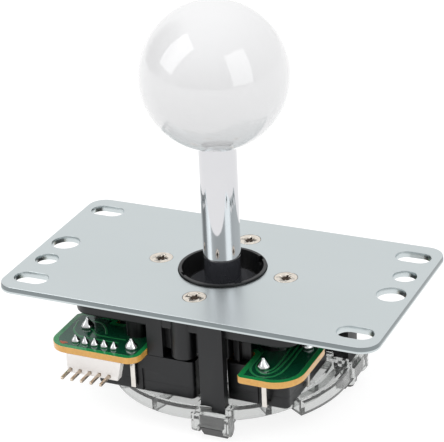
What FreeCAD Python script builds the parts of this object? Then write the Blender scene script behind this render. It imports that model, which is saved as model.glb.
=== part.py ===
import FreeCAD, Part

import math
import os

from FreeCAD import Vector

# Arcade joystick lever with a ball top, built as it comes apart on a bench.
# Millimetres, +Z up. Origin: centre of the mounting plate's top face.
# +X runs along the plate's long side, and the connector is at the front left (-X, -Y).

# Mounting plate, pressed from sheet steel
plate_length = 95.0
plate_width = 53.0
plate_thickness = 1.6
plate_corner_radius = 4.5
plate_edge_break = 0.2
slot_length = 8.5
slot_width = 5.2
slot_end_margin = 6.6
slot_side_margin = 6.5
large_hole_diameter = 6.8
large_hole_margin = 5.2
small_hole_diameter = 5.5
small_hole_margin = 5.25
small_hole_y = 9.8

# Countersunk screws that hold the plate on the housing
screw_circle_radius = 16.2
screw_diameter = 3.0
screw_head_diameter = 5.6
screw_length = 8.0
screw_clearance = 0.05
screw_tip_chamfer = 0.4
screw_hole_extra_depth = 0.5
recess_width = 0.8
recess_span = 3.0
recess_depth = 1.1

# Fits
running_clearance = 0.05
slide_clearance = 0.12
moving_clearance = 0.3
seat_clearance = 0.1
hand_clearance = 0.15

# Lever: ball, shaft and how far it tips
ball_diameter = 35.0
ball_centre_z = 48.7
ball_flat_diameter = 11.0
ball_bore_end_gap = 1.0
insert_diameter = 9.0
insert_length = 12.0
insert_knurl_count = 20
insert_knurl_depth = 0.25
shaft_diameter = 9.0
stem_diameter = 6.0
stud_length = 11.0
shoulder_z = 3.6
shaft_edge_break = 0.4
driver_slot_width = 1.0
driver_slot_depth = 1.0
tilt_limit_deg = 10.0

# Pivot: a half ball with a neck, which rocks in the housing's bowl
pivot_centre_z = -3.9
pivot_radius = 8.4
pivot_height = 5.0
neck_diameter = 8.8
neck_fillet = 0.5

# Housing, moulded
collar_diameter = 21.1
collar_height = 0.5
collar_mouth_diameter = 19.6
collar_notch_width = 1.8
collar_notch_depth = 0.5
collar_notch_height = 1.5
bowl_wall_allowance = 0.35
flange_length = 56.2
flange_width = 50.0
flange_corner_radius = 4.5
flange_thickness = 1.8
flange_depth = 3.1
flange_skirt = 1.8
flange_edge_radius = 0.6
barrel_diameter = 27.0
rib_thickness = 1.6
rib_depth = 5.6
boss_diameter = 7.0
post_x = 18.6
post_y = -13.8
post_diameter = 5.8
post_pin_diameter = 2.4
post_pin_length = 1.3

# Side group of the housing, seen four times round the lever
panel_left = -8.45
panel_right = -4.5
panel_face_y = -25.1
pillar_x = 0.1
pillar_radius = 3.1
pillar_centre_y = -22.9
pillar_depth_z = -11.5
leg_left = 5.2
leg_width = 6.0
leg_face_y = -26.4
leg_thickness = 2.2
leg_side_shift = 3.2
leg_rib_width = 1.6
leg_rib_depth = 3.2
leg_bottom_z = -30.5
hook_reach = 1.3
hook_tip_inset = 0.9
side_block_back_y = -18.5
baffle_end_x = 15.4
baffle_thickness = 1.2
baffle_rib_x = 12.4
baffle_rib_width = 1.4
baffle_rib_reach = 1.6

# Circuit board
board_top_z = -10.6
board_thickness = 1.6
board_half_size = 30.1
board_corner_radius = 7.0
board_arm_reach = 1.9
board_arm_front_reach = 0.8
board_arm_corner_radius = 4.8
board_arm_end_y = -11.8
board_hole_diameter = 20.4
board_notch_left = -8.6
board_notch_right = 16.0
board_notch_left_radius = 3.2
board_notch_right_radius = 1.2
board_notch_back_y = -18.2
board_notch_radius = 1.0
terminal_hole_diameter = 1.5
post_pin_clearance = 0.1

# Microswitches, lying flat under the board, one on each side
switch_end_x = 3.2
switch_length = 25.2
switch_face_y = -25.2
switch_depth = 15.4
switch_height = 9.8
switch_base_height = 3.0
switch_wall = 1.8
switch_roof = 1.5
switch_corner = 1.3
switch_edge_break = 0.3
switch_groove_width = 0.7
switch_groove_depth = 0.4
switch_groove_offset = 1.9
switch_groove_rise = 3.0
switch_hole_diameter = 3.1
switch_hole_inset = 2.9
switch_sleeve_wall = 1.1
plunger_z = -15.9
plunger_width = 2.4
plunger_height = 2.8
plunger_flange = 1.2
plunger_flange_lip = 0.5
plunger_tip_radius = 1.0
blade_thickness = 0.3
blade_width = 3.2
blade_gap = 0.6
blade_root_width = 1.2
blade_root_depth = 2.2
blade_start_gap = 1.0
blade_end_gap = 0.8
contact_diameter = 2.2
contact_thickness = 0.6
contact_gap = 1.2
anvil_width = 2.4
anvil_thickness = 0.5

# Switch terminals and the solder on the board
terminal_width = 1.2
terminal_thickness = 0.6
open_stand_off = 0.9
common_stand_off = 2.2
front_common_stand_off = 4.4
terminal_foot_z = -20.5
common_terminal_inset = 4.9
open_terminal_x = -12.0
solder_diameter = 2.7
solder_height = 2.6
solder_tip_diameter = 0.5

# Five-pin right-angle header
pin_count = 5
pin_pitch = 2.5
pin_size = 0.64
pin_hole_factor = 1.6
pin_first_x = -25.8
pin_row_y = -27.6
pin_axis_z = -16.2
pin_reach = 4.6
header_left = -26.7
header_right_top = -12.5
header_right_bottom = -13.6
header_front_y = -31.0
header_back_y = -29.0
header_bottom_z = -17.0
pin_solder_diameter = 2.0
pin_solder_height = 1.8

# Return spring, its seat, the actuator and the retaining ring
seat_diameter = 15.4
seat_thickness = 1.2
seat_lip_height = 0.6
seat_lip_thickness = 0.7
spring_wire = 0.8
spring_top_diameter = 11.2
spring_bottom_diameter = 8.2
spring_turns = 4.5
actuator_top_z = -14.0
actuator_diameter = 13.6
actuator_wall = 0.8
actuator_waist_z = -18.0
actuator_tip_diameter = 10.0
actuator_cone_end_z = -20.4
actuator_floor_z = -19.4
actuator_bottom_z = -26.4
ring_outer_diameter = 10.0
ring_thickness = 0.7
ring_groove_diameter = 4.8
ring_axial_clearance = 0.05
ring_mouth = 4.4
ring_relief = 0.6
ring_prong_width = 1.6
ring_rim_width = 1.6
shaft_end_z = -28.2

# Clear gate under the switches and the square restrictor in it
gate_top_z = -22.0
gate_bottom_z = -26.0
gate_outer_diameter = 55.6
gate_tab_reach = 3.5
gate_tab_start_deg = -33.0
gate_tab_end_deg = 7.0
gate_rim_wall = 1.6
gate_roof_thickness = 1.6
gate_hole_diameter = 29.0
restrictor_diameter = 34.0
restrictor_thickness = 2.0
restrictor_top_z = -22.4
restrictor_corner_radius = 2.0
gate_clearance = 0.3
hub_wall = 1.8
gate_rib_thickness = 1.4
gate_rib_count = 12
clip_count = 3
clip_width = 5.0
clip_reach = 0.9
loop_bar_thickness = 2.0
loop_bar_height = 3.2
loop_bar_bottom_z = -26.6
loop_side = 1.5
loop_clearance = 0.2
ear_bottom_z = -28.7
ear_length = 3.4

# Values that follow from the sizes above
plate_bottom = -plate_thickness
tilt = math.radians(tilt_limit_deg)
corner_tilt = math.acos(math.cos(tilt) ** 2)
ball_radius = ball_diameter / 2
ball_flat_z = ball_centre_z - math.sqrt(ball_radius ** 2 - (ball_flat_diameter / 2) ** 2)
board_bottom = board_top_z - board_thickness
flange_bottom = plate_bottom - flange_depth
switch_top = board_bottom
switch_bottom = switch_top - switch_height
switch_seam = switch_bottom + switch_base_height
switch_far_x = switch_end_x - switch_length
switch_inner_y = switch_face_y + switch_depth
leg_right = leg_left + leg_width
leg_back_y = leg_face_y + leg_thickness
actuator_radius = actuator_diameter / 2
plunger_travel = (pivot_centre_z - plunger_z) * tilt
plunger_nose_y = -actuator_radius - moving_clearance
plunger_back_y = switch_inner_y - switch_wall - plunger_travel - hand_clearance - plunger_flange
seat_bottom = board_top_z - seat_thickness
restrictor_bottom = restrictor_top_z - restrictor_thickness
ring_top = actuator_bottom_z - ring_axial_clearance
common_terminal_y = switch_face_y + common_terminal_inset
rib_left = leg_left + leg_rib_width
slot_x = plate_length / 2 - slot_end_margin
slot_y = plate_width / 2 - slot_side_margin
large_hole_x = plate_length / 2 - large_hole_margin
small_hole_x = plate_length / 2 - small_hole_margin
z_axis = Vector(0, 0, 1)
side_names = ("front", "right", "back", "left")


# Small modelling helpers
def box(x0, x1, y0, y1, z0, z1):
    """Block between two corners, given in any order."""
    low = Vector(min(x0, x1), min(y0, y1), min(z0, z1))
    return Part.makeBox(abs(x1 - x0), abs(y1 - y0), abs(z1 - z0), low)


def cylinder(diameter, z0, z1, x=0.0, y=0.0):
    """Upright round bar between two heights."""
    return Part.makeCylinder(diameter / 2, abs(z1 - z0), Vector(x, y, min(z0, z1)))


def polygon_face(points):
    """Flat face inside a closed outline of Vectors."""
    return Part.Face(Part.makePolygon(list(points) + [points[0]]))


def turned(profile):
    """Solid turned about Z from a closed profile of (radius, height)."""
    face = polygon_face([Vector(r, 0, z) for r, z in profile])
    return face.revolve(Vector(0, 0, 0), z_axis, 360)


def side_profile(points, x0, x1):
    """Bar along X with a section given as (y, z)."""
    return polygon_face([Vector(x0, y, z) for y, z in points]).extrude(Vector(x1 - x0, 0, 0))


def upright_edges(shape, reach=0.01):
    """Straight edges of a shape that run along Z."""
    found = []
    for edge in shape.Edges:
        if isinstance(edge.Curve, Part.Line) and abs(edge.Curve.Direction.z) > 1 - reach:
            found.append(edge)
    return found


def rounded_block(length, width, radius, z0, z1):
    """Block centred on the axis with rounded upright edges."""
    block = box(-length / 2, length / 2, -width / 2, width / 2, z0, z1)
    return block.makeFillet(radius, upright_edges(block))


def level_edges(shape, z):
    """Edges that lie wholly at one height."""
    return [e for e in shape.Edges if abs(e.BoundBox.ZMin - z) < 1e-5 and abs(e.BoundBox.ZMax - z) < 1e-5]


def quarter_turns(shape):
    """The shape at the front and its copies on the other three sides."""
    return [turned_copy(shape, 90.0 * k) for k in range(4)]


def around(front, side):
    """One shape for the front and back, another for the right and left, each turned into place."""
    return [turned_copy(shape, 90.0 * k) for k, shape in enumerate((front, side, front, side))]


def turned_copy(shape, angle):
    """Copy turned about the lever's axis by an angle in degrees."""
    copy = shape.copy()
    copy.rotate(Vector(0, 0, 0), z_axis, angle)
    return copy


def fuse(shapes):
    """One solid from several, with the seams between faces removed."""
    shapes = list(shapes)
    return shapes[0].multiFuse(shapes[1:]).removeSplitter()


def save(name, shape):
    """Write one sub-part to its STEP file after checking that it is solid."""
    if not shape.Solids or not shape.isValid():
        raise ValueError("bad solid: " + name)
    if len(shape.Solids) == 1:
        shape = shape.Solids[0]
    shape.exportStep("parts/" + name + ".step")


# Mounting plate with its slots, holes and countersinks
def countersink_cone(extra=0.0):
    """Room for a screw's head, a cone that ends at the plate's top face."""
    head = screw_head_diameter / 2 + extra
    shank = screw_diameter / 2 + extra
    return turned([(0, shank - head), (shank, shank - head), (head, 0), (head, 0.5), (0, 0.5)])


def mounting_plate():
    plate = rounded_block(plate_length, plate_width, plate_corner_radius, plate_bottom, 0)
    plate = plate.makeChamfer(plate_edge_break, level_edges(plate, 0) + level_edges(plate, plate_bottom))
    cuts = [cylinder(collar_diameter + 2 * hand_clearance, plate_bottom - 1, 1)]
    slot_run = (slot_length - slot_width) / 2
    half = slot_width / 2
    for sx in (-1, 1):
        for sy in (-1, 1):
            x, y = sx * slot_x, sy * slot_y
            cuts.append(box(x - slot_run, x + slot_run, y - half, y + half, plate_bottom - 1, 1))
            cuts.append(cylinder(slot_width, plate_bottom - 1, 1, x - slot_run, y))
            cuts.append(cylinder(slot_width, plate_bottom - 1, 1, x + slot_run, y))
        cuts.append(cylinder(large_hole_diameter, plate_bottom - 1, 1, sx * large_hole_x, 0))
        cuts.append(cylinder(small_hole_diameter, plate_bottom - 1, 1, sx * small_hole_x, sx * small_hole_y))
    sink = countersink_cone(screw_clearance)
    sink = sink.fuse(cylinder(screw_diameter + 2 * screw_clearance, plate_bottom - 1, 0))
    sink.translate(Vector(0, -screw_circle_radius, 0))
    return plate.cut(Part.makeCompound(cuts + quarter_turns(sink)))


def plate_screw():
    """Countersunk machine screw with a cross recess, at the front side."""
    shank = screw_diameter / 2
    head = screw_head_diameter / 2
    tip = screw_tip_chamfer
    screw = turned([(0, -screw_length), (shank - tip, -screw_length), (shank, -screw_length + tip),
                    (shank, shank - head), (head, 0), (0, 0)])
    half = recess_span / 2
    floor = recess_width / 2
    wing = Part.makeLoft([
        Part.makePolygon([Vector(-half, -floor, 0), Vector(half, -floor, 0), Vector(half, floor, 0),
                          Vector(-half, floor, 0), Vector(-half, -floor, 0)]),
        Part.makePolygon([Vector(-floor, -floor / 2, -recess_depth), Vector(floor, -floor / 2, -recess_depth),
                          Vector(floor, floor / 2, -recess_depth), Vector(-floor, floor / 2, -recess_depth),
                          Vector(-floor, -floor / 2, -recess_depth)])], True)
    screw = screw.cut(wing).cut(turned_copy(wing, 90))
    screw = turned_copy(screw, 45)
    screw.translate(Vector(0, -screw_circle_radius, 0))
    return screw


# Housing: collar, bowl, flange, ribs and the four-fold side groups
def bowl_space():
    """Everything the housing leaves free round the lever's axis, as one turned solid."""
    seat = pivot_radius + seat_clearance
    wall = seat + bowl_wall_allowance
    mouth = collar_mouth_diameter / 2
    top = collar_height + 1
    arm = board_top_z - pivot_centre_z
    low = math.sqrt(seat ** 2 - arm ** 2)
    middle_angle = (math.asin(-arm / seat)) / 2
    outline = [
        Part.LineSegment(Vector(0, 0, board_top_z - 1), Vector(low, 0, board_top_z - 1)),
        Part.LineSegment(Vector(low, 0, board_top_z - 1), Vector(low, 0, board_top_z)),
        Part.Arc(Vector(low, 0, board_top_z),
                 Vector(seat * math.cos(middle_angle), 0, pivot_centre_z - seat * math.sin(middle_angle)),
                 Vector(seat, 0, pivot_centre_z)),
        Part.LineSegment(Vector(seat, 0, pivot_centre_z), Vector(wall, 0, pivot_centre_z)),
        Part.LineSegment(Vector(wall, 0, pivot_centre_z), Vector(mouth, 0, collar_height)),
        Part.LineSegment(Vector(mouth, 0, collar_height), Vector(mouth, 0, top)),
        Part.LineSegment(Vector(mouth, 0, top), Vector(0, 0, top)),
        Part.LineSegment(Vector(0, 0, top), Vector(0, 0, board_top_z - 1)),
    ]
    face = Part.Face(Part.Wire([part.toShape() for part in outline]))
    return face.revolve(Vector(0, 0, 0), z_axis, 360)


def leg(shift):
    """Post from the flange to the gate with a snap hook; a shifted one stands further out and is thicker."""
    shoulder = loop_bar_bottom_z - slide_clearance
    face = leg_face_y - shift
    back = leg_back_y - shift / 2
    section = [
        (back, plate_bottom),
        (face, plate_bottom),
        (face, shoulder),
        (face - hook_reach, shoulder - hook_reach / 3),
        (face - hook_reach, shoulder - hook_reach / 2),
        (face + hook_tip_inset, leg_bottom_z),
        (back - hook_tip_inset / 3, leg_bottom_z),
        (back, shoulder),
    ]
    post = side_profile(section, leg_left, leg_right)
    rib = box(rib_left, rib_left + leg_rib_width, back, back + leg_rib_depth,
              plate_bottom, gate_top_z + loop_clearance)
    return post.fuse(rib)


def side_group():
    """Wall, panel, half-round pillar and ribbed baffle at the front side of the housing."""
    wall_face_y = leg_back_y + leg_thickness / 2
    wall = box(panel_left, leg_right, wall_face_y, side_block_back_y, plate_bottom, board_top_z)
    panel = box(panel_left, panel_right, panel_face_y, side_block_back_y, plate_bottom, switch_top)
    panel = panel.cut(box(panel_left - 1, panel_right + 1, side_block_back_y - 2, side_block_back_y + 1,
                          board_top_z, switch_top - 1))
    pillar = cylinder(2 * pillar_radius, plate_bottom, pillar_depth_z, pillar_x, pillar_centre_y)
    baffle_face_y = side_block_back_y - baffle_thickness
    baffle = box(leg_right, baffle_end_x, baffle_face_y, side_block_back_y, plate_bottom, switch_top)
    rib = box(baffle_rib_x - baffle_rib_width / 2, baffle_rib_x + baffle_rib_width / 2,
              baffle_face_y - baffle_rib_reach, baffle_face_y, plate_bottom, switch_top)
    return [wall, panel, pillar, baffle, rib]


def flange():
    """Shallow tray under the plate, open downwards and stiffened by ribs."""
    outer = rounded_block(flange_length, flange_width, flange_corner_radius, flange_bottom, plate_bottom)
    outer = outer.makeFillet(flange_edge_radius, level_edges(outer, flange_bottom))
    length = flange_length - 2 * flange_skirt
    width = flange_width - 2 * flange_skirt
    radius = flange_corner_radius - flange_skirt
    return outer.cut(rounded_block(length, width, radius, flange_bottom - 1, plate_bottom - flange_thickness))


def ribs():
    """Ribs from the barrel out to the flange's skirt."""
    bottom = plate_bottom - rib_depth
    reach_x = flange_length / 2 - flange_skirt / 2
    reach_y = flange_width / 2 - flange_skirt / 2
    half = rib_thickness / 2
    straight = [box(-reach_x, reach_x, -half, half, bottom, plate_bottom),
                box(-half, half, -reach_y, reach_y, bottom, plate_bottom)]
    corner = math.degrees(math.atan2(reach_y, reach_x))
    long_half = math.hypot(reach_x, reach_y) - flange_corner_radius
    diagonal = box(-long_half, long_half, -half, half, bottom, plate_bottom)
    return straight + [turned_copy(diagonal, corner), turned_copy(diagonal, -corner)]


def corner_post():
    """Post that presses on the board, with a pin that goes into it."""
    post = cylinder(post_diameter, plate_bottom, board_top_z, post_x, post_y)
    return post.fuse(cylinder(post_pin_diameter, board_top_z, board_top_z - post_pin_length, post_x, post_y))


def main_body():
    solids = [flange(), cylinder(barrel_diameter, board_top_z, plate_bottom)]
    solids.append(cylinder(collar_diameter, plate_bottom - 1, collar_height))
    solids += ribs()
    boss = cylinder(boss_diameter, plate_bottom, board_top_z, 0, -screw_circle_radius)
    repeated = [boss, corner_post()] + side_group()
    for piece in repeated:
        solids += quarter_turns(piece)
    solids += around(leg(0.0), leg(leg_side_shift))
    body = solids[0].multiFuse(solids[1:])
    hole_end = -screw_length - screw_hole_extra_depth
    hole = cylinder(screw_diameter + 2 * screw_clearance, plate_bottom + 1, hole_end, 0, -screw_circle_radius)
    wall = pivot_radius + seat_clearance + bowl_wall_allowance
    notch_y = -collar_mouth_diameter / 2 - collar_notch_depth
    notch = box(-collar_notch_width / 2, collar_notch_width / 2, notch_y, -wall + 1,
                collar_height - collar_notch_height, collar_height + 1)
    cuts = [bowl_space()] + quarter_turns(hole) + [turned_copy(n, 45) for n in quarter_turns(notch)]
    return body.cut(Part.makeCompound(cuts)).removeSplitter()


# Lever pieces
def ball_top():
    """Glossy ball with a flat and a blind bore for the threaded insert."""
    ball = Part.makeSphere(ball_radius, Vector(0, 0, ball_centre_z))
    below = box(-ball_radius, ball_radius, -ball_radius, ball_radius, ball_flat_z, ball_flat_z - ball_radius)
    ball = ball.cut(below)
    bore_top = ball_flat_z + insert_length + ball_bore_end_gap
    return ball.cut(cylinder(insert_diameter, ball_flat_z - 1, bore_top))


def ball_insert():
    """Knurled insert with a threaded bore, moulded into the ball."""
    body = cylinder(insert_diameter, ball_flat_z, ball_flat_z + insert_length)
    grooves = []
    floor = insert_diameter / 2 - insert_knurl_depth
    for k in range(insert_knurl_count):
        groove = box(floor, insert_diameter, -insert_knurl_depth, insert_knurl_depth,
                     ball_flat_z + 1, ball_flat_z + insert_length + 1)
        grooves.append(turned_copy(groove, 360.0 * k / insert_knurl_count))
    bore = cylinder(stem_diameter + 2 * screw_clearance, ball_flat_z - 1, ball_flat_z + insert_length + 1)
    return body.cut(Part.makeCompound(grooves + [bore]))


def shaft():
    """Stepped lever shaft: stud for the ball, bright handle, stem with the ring's groove."""
    handle = shaft_diameter / 2
    stem = stem_diameter / 2
    groove = ring_groove_diameter / 2
    ease = shaft_edge_break
    bar = turned([
        (0, shaft_end_z), (stem - ease, shaft_end_z), (stem, shaft_end_z + ease),
        (stem, ring_top - ring_thickness - ring_axial_clearance),
        (groove, ring_top - ring_thickness - ring_axial_clearance),
        (groove, ring_top), (stem, ring_top),
        (stem, shoulder_z), (handle - ease / 2, shoulder_z), (handle, shoulder_z + ease / 2),
        (handle, ball_flat_z - ease), (handle - ease, ball_flat_z), (stem, ball_flat_z),
        (stem, ball_flat_z + stud_length - ease), (stem - ease, ball_flat_z + stud_length),
        (0, ball_flat_z + stud_length),
    ])
    slot = box(-stem, stem, -driver_slot_width / 2, driver_slot_width / 2,
               shaft_end_z - 1, shaft_end_z + driver_slot_depth)
    return bar.cut(slot)


def pivot():
    """Half ball with a flat top and a neck, bored to let the shaft turn in it."""
    ball = Part.makeSphere(pivot_radius, Vector(0, 0, pivot_centre_z))
    keep = cylinder(3 * pivot_radius, pivot_centre_z - pivot_height, pivot_centre_z)
    half = ball.common(keep)
    neck = cylinder(neck_diameter, pivot_centre_z - 1, shoulder_z - running_clearance)
    body = half.fuse(neck)
    corner = [e for e in level_edges(body, pivot_centre_z) if e.BoundBox.XMax < neck_diameter / 2 + 0.01]
    body = body.makeFillet(neck_fillet, corner)
    bore_diameter = stem_diameter + 2 * running_clearance
    return body.cut(cylinder(bore_diameter, pivot_centre_z - pivot_radius, shoulder_z + 1))


def spring_seat():
    """Dished washer between the housing and the spring, bored for the tipping stem."""
    arm = pivot_centre_z - seat_bottom
    bore = arm * math.tan(corner_tilt) + stem_diameter / 2 / math.cos(corner_tilt) + seat_clearance
    rim = seat_diameter / 2
    lip = seat_bottom - seat_lip_height
    return turned([(bore, board_top_z), (rim, board_top_z), (rim, lip), (rim - seat_lip_thickness, lip),
                   (rim - seat_lip_thickness, seat_bottom), (bore, seat_bottom)])


def spring():
    """Tapered compression spring from the seat down into the actuator's cup."""
    half = spring_wire / 2
    top = seat_bottom - half
    floor = actuator_floor_z + half
    height = top - floor
    taper = math.degrees(math.atan2((spring_top_diameter - spring_bottom_diameter) / 2, height))
    helix = Part.makeHelix(height / spring_turns, height, spring_bottom_diameter / 2, taper)
    helix.translate(Vector(0, 0, floor))
    start = Vector(spring_bottom_diameter / 2, 0, floor)
    section = Part.Wire([Part.Edge(Part.Circle(start, Vector(0, 1, 0), half))])
    return Part.Wire(helix.Edges).makePipeShell([section], True, True)


def actuator():
    """Stepped collar that pushes the plungers, with a cup for the spring and a tip for the gate."""
    outer = actuator_radius
    tip = actuator_tip_diameter / 2
    ease = actuator_wall / 2
    body = turned([
        (0, actuator_bottom_z), (tip - ease / 2, actuator_bottom_z), (tip, actuator_bottom_z + ease / 2),
        (tip, actuator_cone_end_z), (outer, actuator_waist_z), (outer, actuator_top_z - ease),
        (outer - ease, actuator_top_z), (0, actuator_top_z),
    ])
    cup_bottom = (spring_bottom_diameter + spring_wire) / 2 + moving_clearance
    cup_top = outer - actuator_wall
    shelf = actuator_floor_z + spring_wire
    cup = turned([(0, actuator_floor_z), (cup_bottom, actuator_floor_z), (cup_bottom, shelf),
                  (cup_top, shelf + 2 * spring_wire), (cup_top, actuator_top_z + 1), (0, actuator_top_z + 1)])
    bore = cylinder(stem_diameter + 2 * running_clearance, actuator_bottom_z - 1, actuator_top_z)
    return body.cut(cup).cut(bore)


def e_ring():
    """Retaining ring with three prongs that grip the groove's floor."""
    bottom = ring_top - ring_thickness
    outer = cylinder(ring_outer_diameter, bottom, ring_top)
    relief = cylinder(stem_diameter + ring_relief, bottom - 1, ring_top + 1)
    ring = outer.cut(relief)
    prongs = []
    inner = ring_groove_diameter / 2 - screw_clearance
    outside = stem_diameter / 2 + ring_rim_width
    half = ring_prong_width / 2
    prong = box(inner, outside, -half, half, bottom, ring_top)
    for angle in (0.0, 90.0, 180.0):
        prongs.append(turned_copy(prong, angle))
    ring = fuse([ring] + prongs)
    ring = ring.cut(cylinder(ring_groove_diameter + 2 * screw_clearance, bottom - 1, ring_top + 1))
    mouth = box(-ring_mouth / 2, ring_mouth / 2, -ring_outer_diameter, 0, bottom - 1, ring_top + 1)
    mouth = mouth.cut(cylinder(stem_diameter, bottom - 2, ring_top + 2))
    return ring.cut(mouth)


# Circuit board
def terminal_places(side):
    """Where the two terminals of a side's switch stand, as (x, y) before it is turned to that side."""
    stand_off = front_common_stand_off if side == "front" else common_stand_off
    common = (switch_far_x - stand_off, common_terminal_y)
    opening = (open_terminal_x, switch_face_y - open_stand_off)
    return [common, opening]


def pin_places():
    """X of each header pin."""
    return [pin_first_x + pin_pitch * k for k in range(pin_count)]


def circuit_board():
    half = board_half_size
    board = rounded_block(2 * half, 2 * half, board_corner_radius, board_bottom, board_top_z)
    front = half + board_arm_front_reach
    arm = box(-half - board_arm_reach, board_notch_left, -front, board_arm_end_y, board_bottom, board_top_z)
    corners = [e for e in upright_edges(arm) if e.BoundBox.YMax < -half and e.BoundBox.XMin < -half]
    arm = arm.makeFillet(board_arm_corner_radius, corners)
    back = [e for e in upright_edges(arm) if e.BoundBox.YMin > board_arm_end_y - 1]
    step = [e for e in back if e.BoundBox.XMin < -half]
    arm = arm.makeChamfer(board_arm_reach, step)
    board = board.fuse(arm).removeSplitter()
    low = board_bottom - 1
    high = board_top_z + 1
    notch = box(board_notch_left, board_notch_right, -front - 1, board_notch_back_y, low, high)
    inside = [e for e in upright_edges(notch) if e.BoundBox.YMax > board_notch_back_y - 1]
    notch = notch.makeFillet(board_notch_radius, inside)
    board = board.cut(Part.makeCompound(quarter_turns(notch)))
    rounding = ((board_notch_left_radius, board_notch_left), (board_notch_right_radius, board_notch_right))
    for radius, offset in rounding:
        corners = []
        for edge in upright_edges(board):
            near, far = sorted((abs(edge.BoundBox.XMin), abs(edge.BoundBox.YMin)))
            if abs(near - abs(offset)) < 0.01 and half - 0.01 < far < front + 0.01:
                corners.append(edge)
        board = board.makeFillet(radius, corners)
    cuts = [cylinder(board_hole_diameter, low, high)]
    pin_hole = cylinder(post_pin_diameter + 2 * post_pin_clearance, low, high, post_x, post_y)
    cuts += quarter_turns(pin_hole)
    for k, side in enumerate(side_names):
        for x, y in terminal_places(side):
            cuts.append(turned_copy(cylinder(terminal_hole_diameter, low, high, x, y), 90.0 * k))
    for x in pin_places():
        cuts.append(cylinder(pin_size * pin_hole_factor, low, high, x, pin_row_y))
    return board.cut(Part.makeCompound(cuts))


def solder_cone(diameter, height, x, y):
    """Solder that has drawn up round a pin's end."""
    base = diameter / 2
    tip = solder_tip_diameter / 2
    shares = ((1.0, 0.0), (0.95, 0.12), (0.78, 0.34), (0.5, 0.6))
    points = [(0, 0)] + [(base * across, height * up) for across, up in shares] + [(tip, height), (0, height)]
    cone = turned([(r, board_top_z + z) for r, z in points])
    cone.translate(Vector(x, y, 0))
    return cone


def solder_joints():
    joints = []
    for k, side in enumerate(side_names):
        for x, y in terminal_places(side):
            joints.append(turned_copy(solder_cone(solder_diameter, solder_height, x, y), 90.0 * k))
    for x in pin_places():
        joints.append(solder_cone(pin_solder_diameter, pin_solder_height, x, pin_row_y))
    return Part.makeCompound(joints)


# Header
def header_housing():
    """Wall under the board's front edge with one slanted end, which the pins go through."""
    outline = [(header_left, board_bottom), (header_left, header_bottom_z),
               (header_right_bottom, header_bottom_z), (header_right_top, board_bottom)]
    face = polygon_face([Vector(x, header_front_y, z) for x, z in outline])
    wall = face.extrude(Vector(0, header_back_y - header_front_y, 0))
    room = pin_size / 2 + seat_clearance / 2
    low = pin_axis_z - room
    high = pin_axis_z + room
    holes = []
    for x in pin_places():
        holes.append(box(x - room, x + room, header_front_y - 1, header_back_y + 1, low, high))
    return wall.cut(Part.makeCompound(holes))


def header_pins():
    """Square pins that go down from the board and turn out to the front."""
    half = pin_size / 2
    tip = half / 2
    pins = []
    for x in pin_places():
        upright = box(x - half, x + half, pin_row_y - half, pin_row_y + half, pin_axis_z - half, board_top_z)
        end = header_front_y - pin_reach
        level = box(x - half, x + half, end, pin_row_y - half, pin_axis_z - half, pin_axis_z + half)
        level = level.makeChamfer(tip, [e for e in level.Edges if e.BoundBox.YMax < end + 0.001])
        pins.append(upright.fuse(level).removeSplitter())
    return Part.makeCompound(pins)


# Microswitch at the front side; the others are turned copies
def switch_block(z0, z1):
    block = box(switch_far_x, switch_end_x, switch_face_y, switch_inner_y, z0, z1)
    return block.makeFillet(switch_corner, upright_edges(block))


def terminal_grooves():
    """Shallow grooves beside the terminals, as such cases have."""
    depth = switch_groove_depth
    width = switch_groove_width
    face_x = open_terminal_x + switch_groove_offset
    end_y = common_terminal_y + switch_groove_offset
    top = switch_seam + switch_groove_rise
    face = box(face_x, face_x + width, switch_face_y - 1, switch_face_y + depth, switch_bottom - 1, top)
    end = box(switch_far_x - 1, switch_far_x + depth, end_y, end_y + width, switch_bottom - 1, top)
    return Part.makeCompound([face, end])


def upright_bars(diameter, z0, z1):
    """Bars at the case's two mounting holes, which are at opposite corners."""
    first = (switch_far_x + switch_hole_inset, switch_inner_y - switch_hole_inset)
    second = (switch_end_x - switch_hole_inset, switch_face_y + switch_hole_inset)
    return Part.makeCompound([cylinder(diameter, z0, z1, x, y) for x, y in (first, second)])


def plunger_room(gap):
    """Passage of the plunger through the inner wall, with a gap all round."""
    half_w = plunger_width / 2 + gap
    half_h = plunger_height / 2 + gap
    return box(-half_w, half_w, switch_inner_y - switch_wall - 1, switch_inner_y + 1,
               plunger_z - half_h, plunger_z + half_h)


def switch_cover():
    cover = switch_block(switch_seam, switch_top)
    cavity = box(switch_far_x + switch_wall, switch_end_x - switch_wall, switch_face_y + switch_wall,
                 switch_inner_y - switch_wall, switch_seam - 1, switch_top - switch_roof)
    sleeve_diameter = switch_hole_diameter + 2 * switch_sleeve_wall
    cavity = cavity.cut(upright_bars(sleeve_diameter, switch_seam - 1, switch_top))
    holes = upright_bars(switch_hole_diameter, switch_bottom - 1, switch_top + 1)
    return cover.cut(cavity).cut(terminal_grooves()).cut(holes).cut(plunger_room(slide_clearance))


def switch_base():
    base = switch_block(switch_bottom, switch_seam)
    base = base.makeChamfer(switch_edge_break, level_edges(base, switch_bottom))
    common, opening = terminal_places("front")
    half = terminal_width / 2 + running_clearance
    thick = terminal_thickness / 2 + running_clearance
    foot_low = terminal_foot_z - thick
    foot_high = terminal_foot_z + thick
    face_end = switch_face_y + switch_wall
    far_end = switch_far_x + switch_wall
    slots = [
        box(opening[0] - half, opening[0] + half, switch_face_y - 1, face_end, foot_low, foot_high),
        box(switch_far_x - 1, far_end, common[1] - half, common[1] + half, foot_low, foot_high),
    ]
    holes = upright_bars(switch_hole_diameter, switch_bottom - 1, switch_top + 1)
    return base.cut(Part.makeCompound(slots)).cut(terminal_grooves()).cut(holes)


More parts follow.
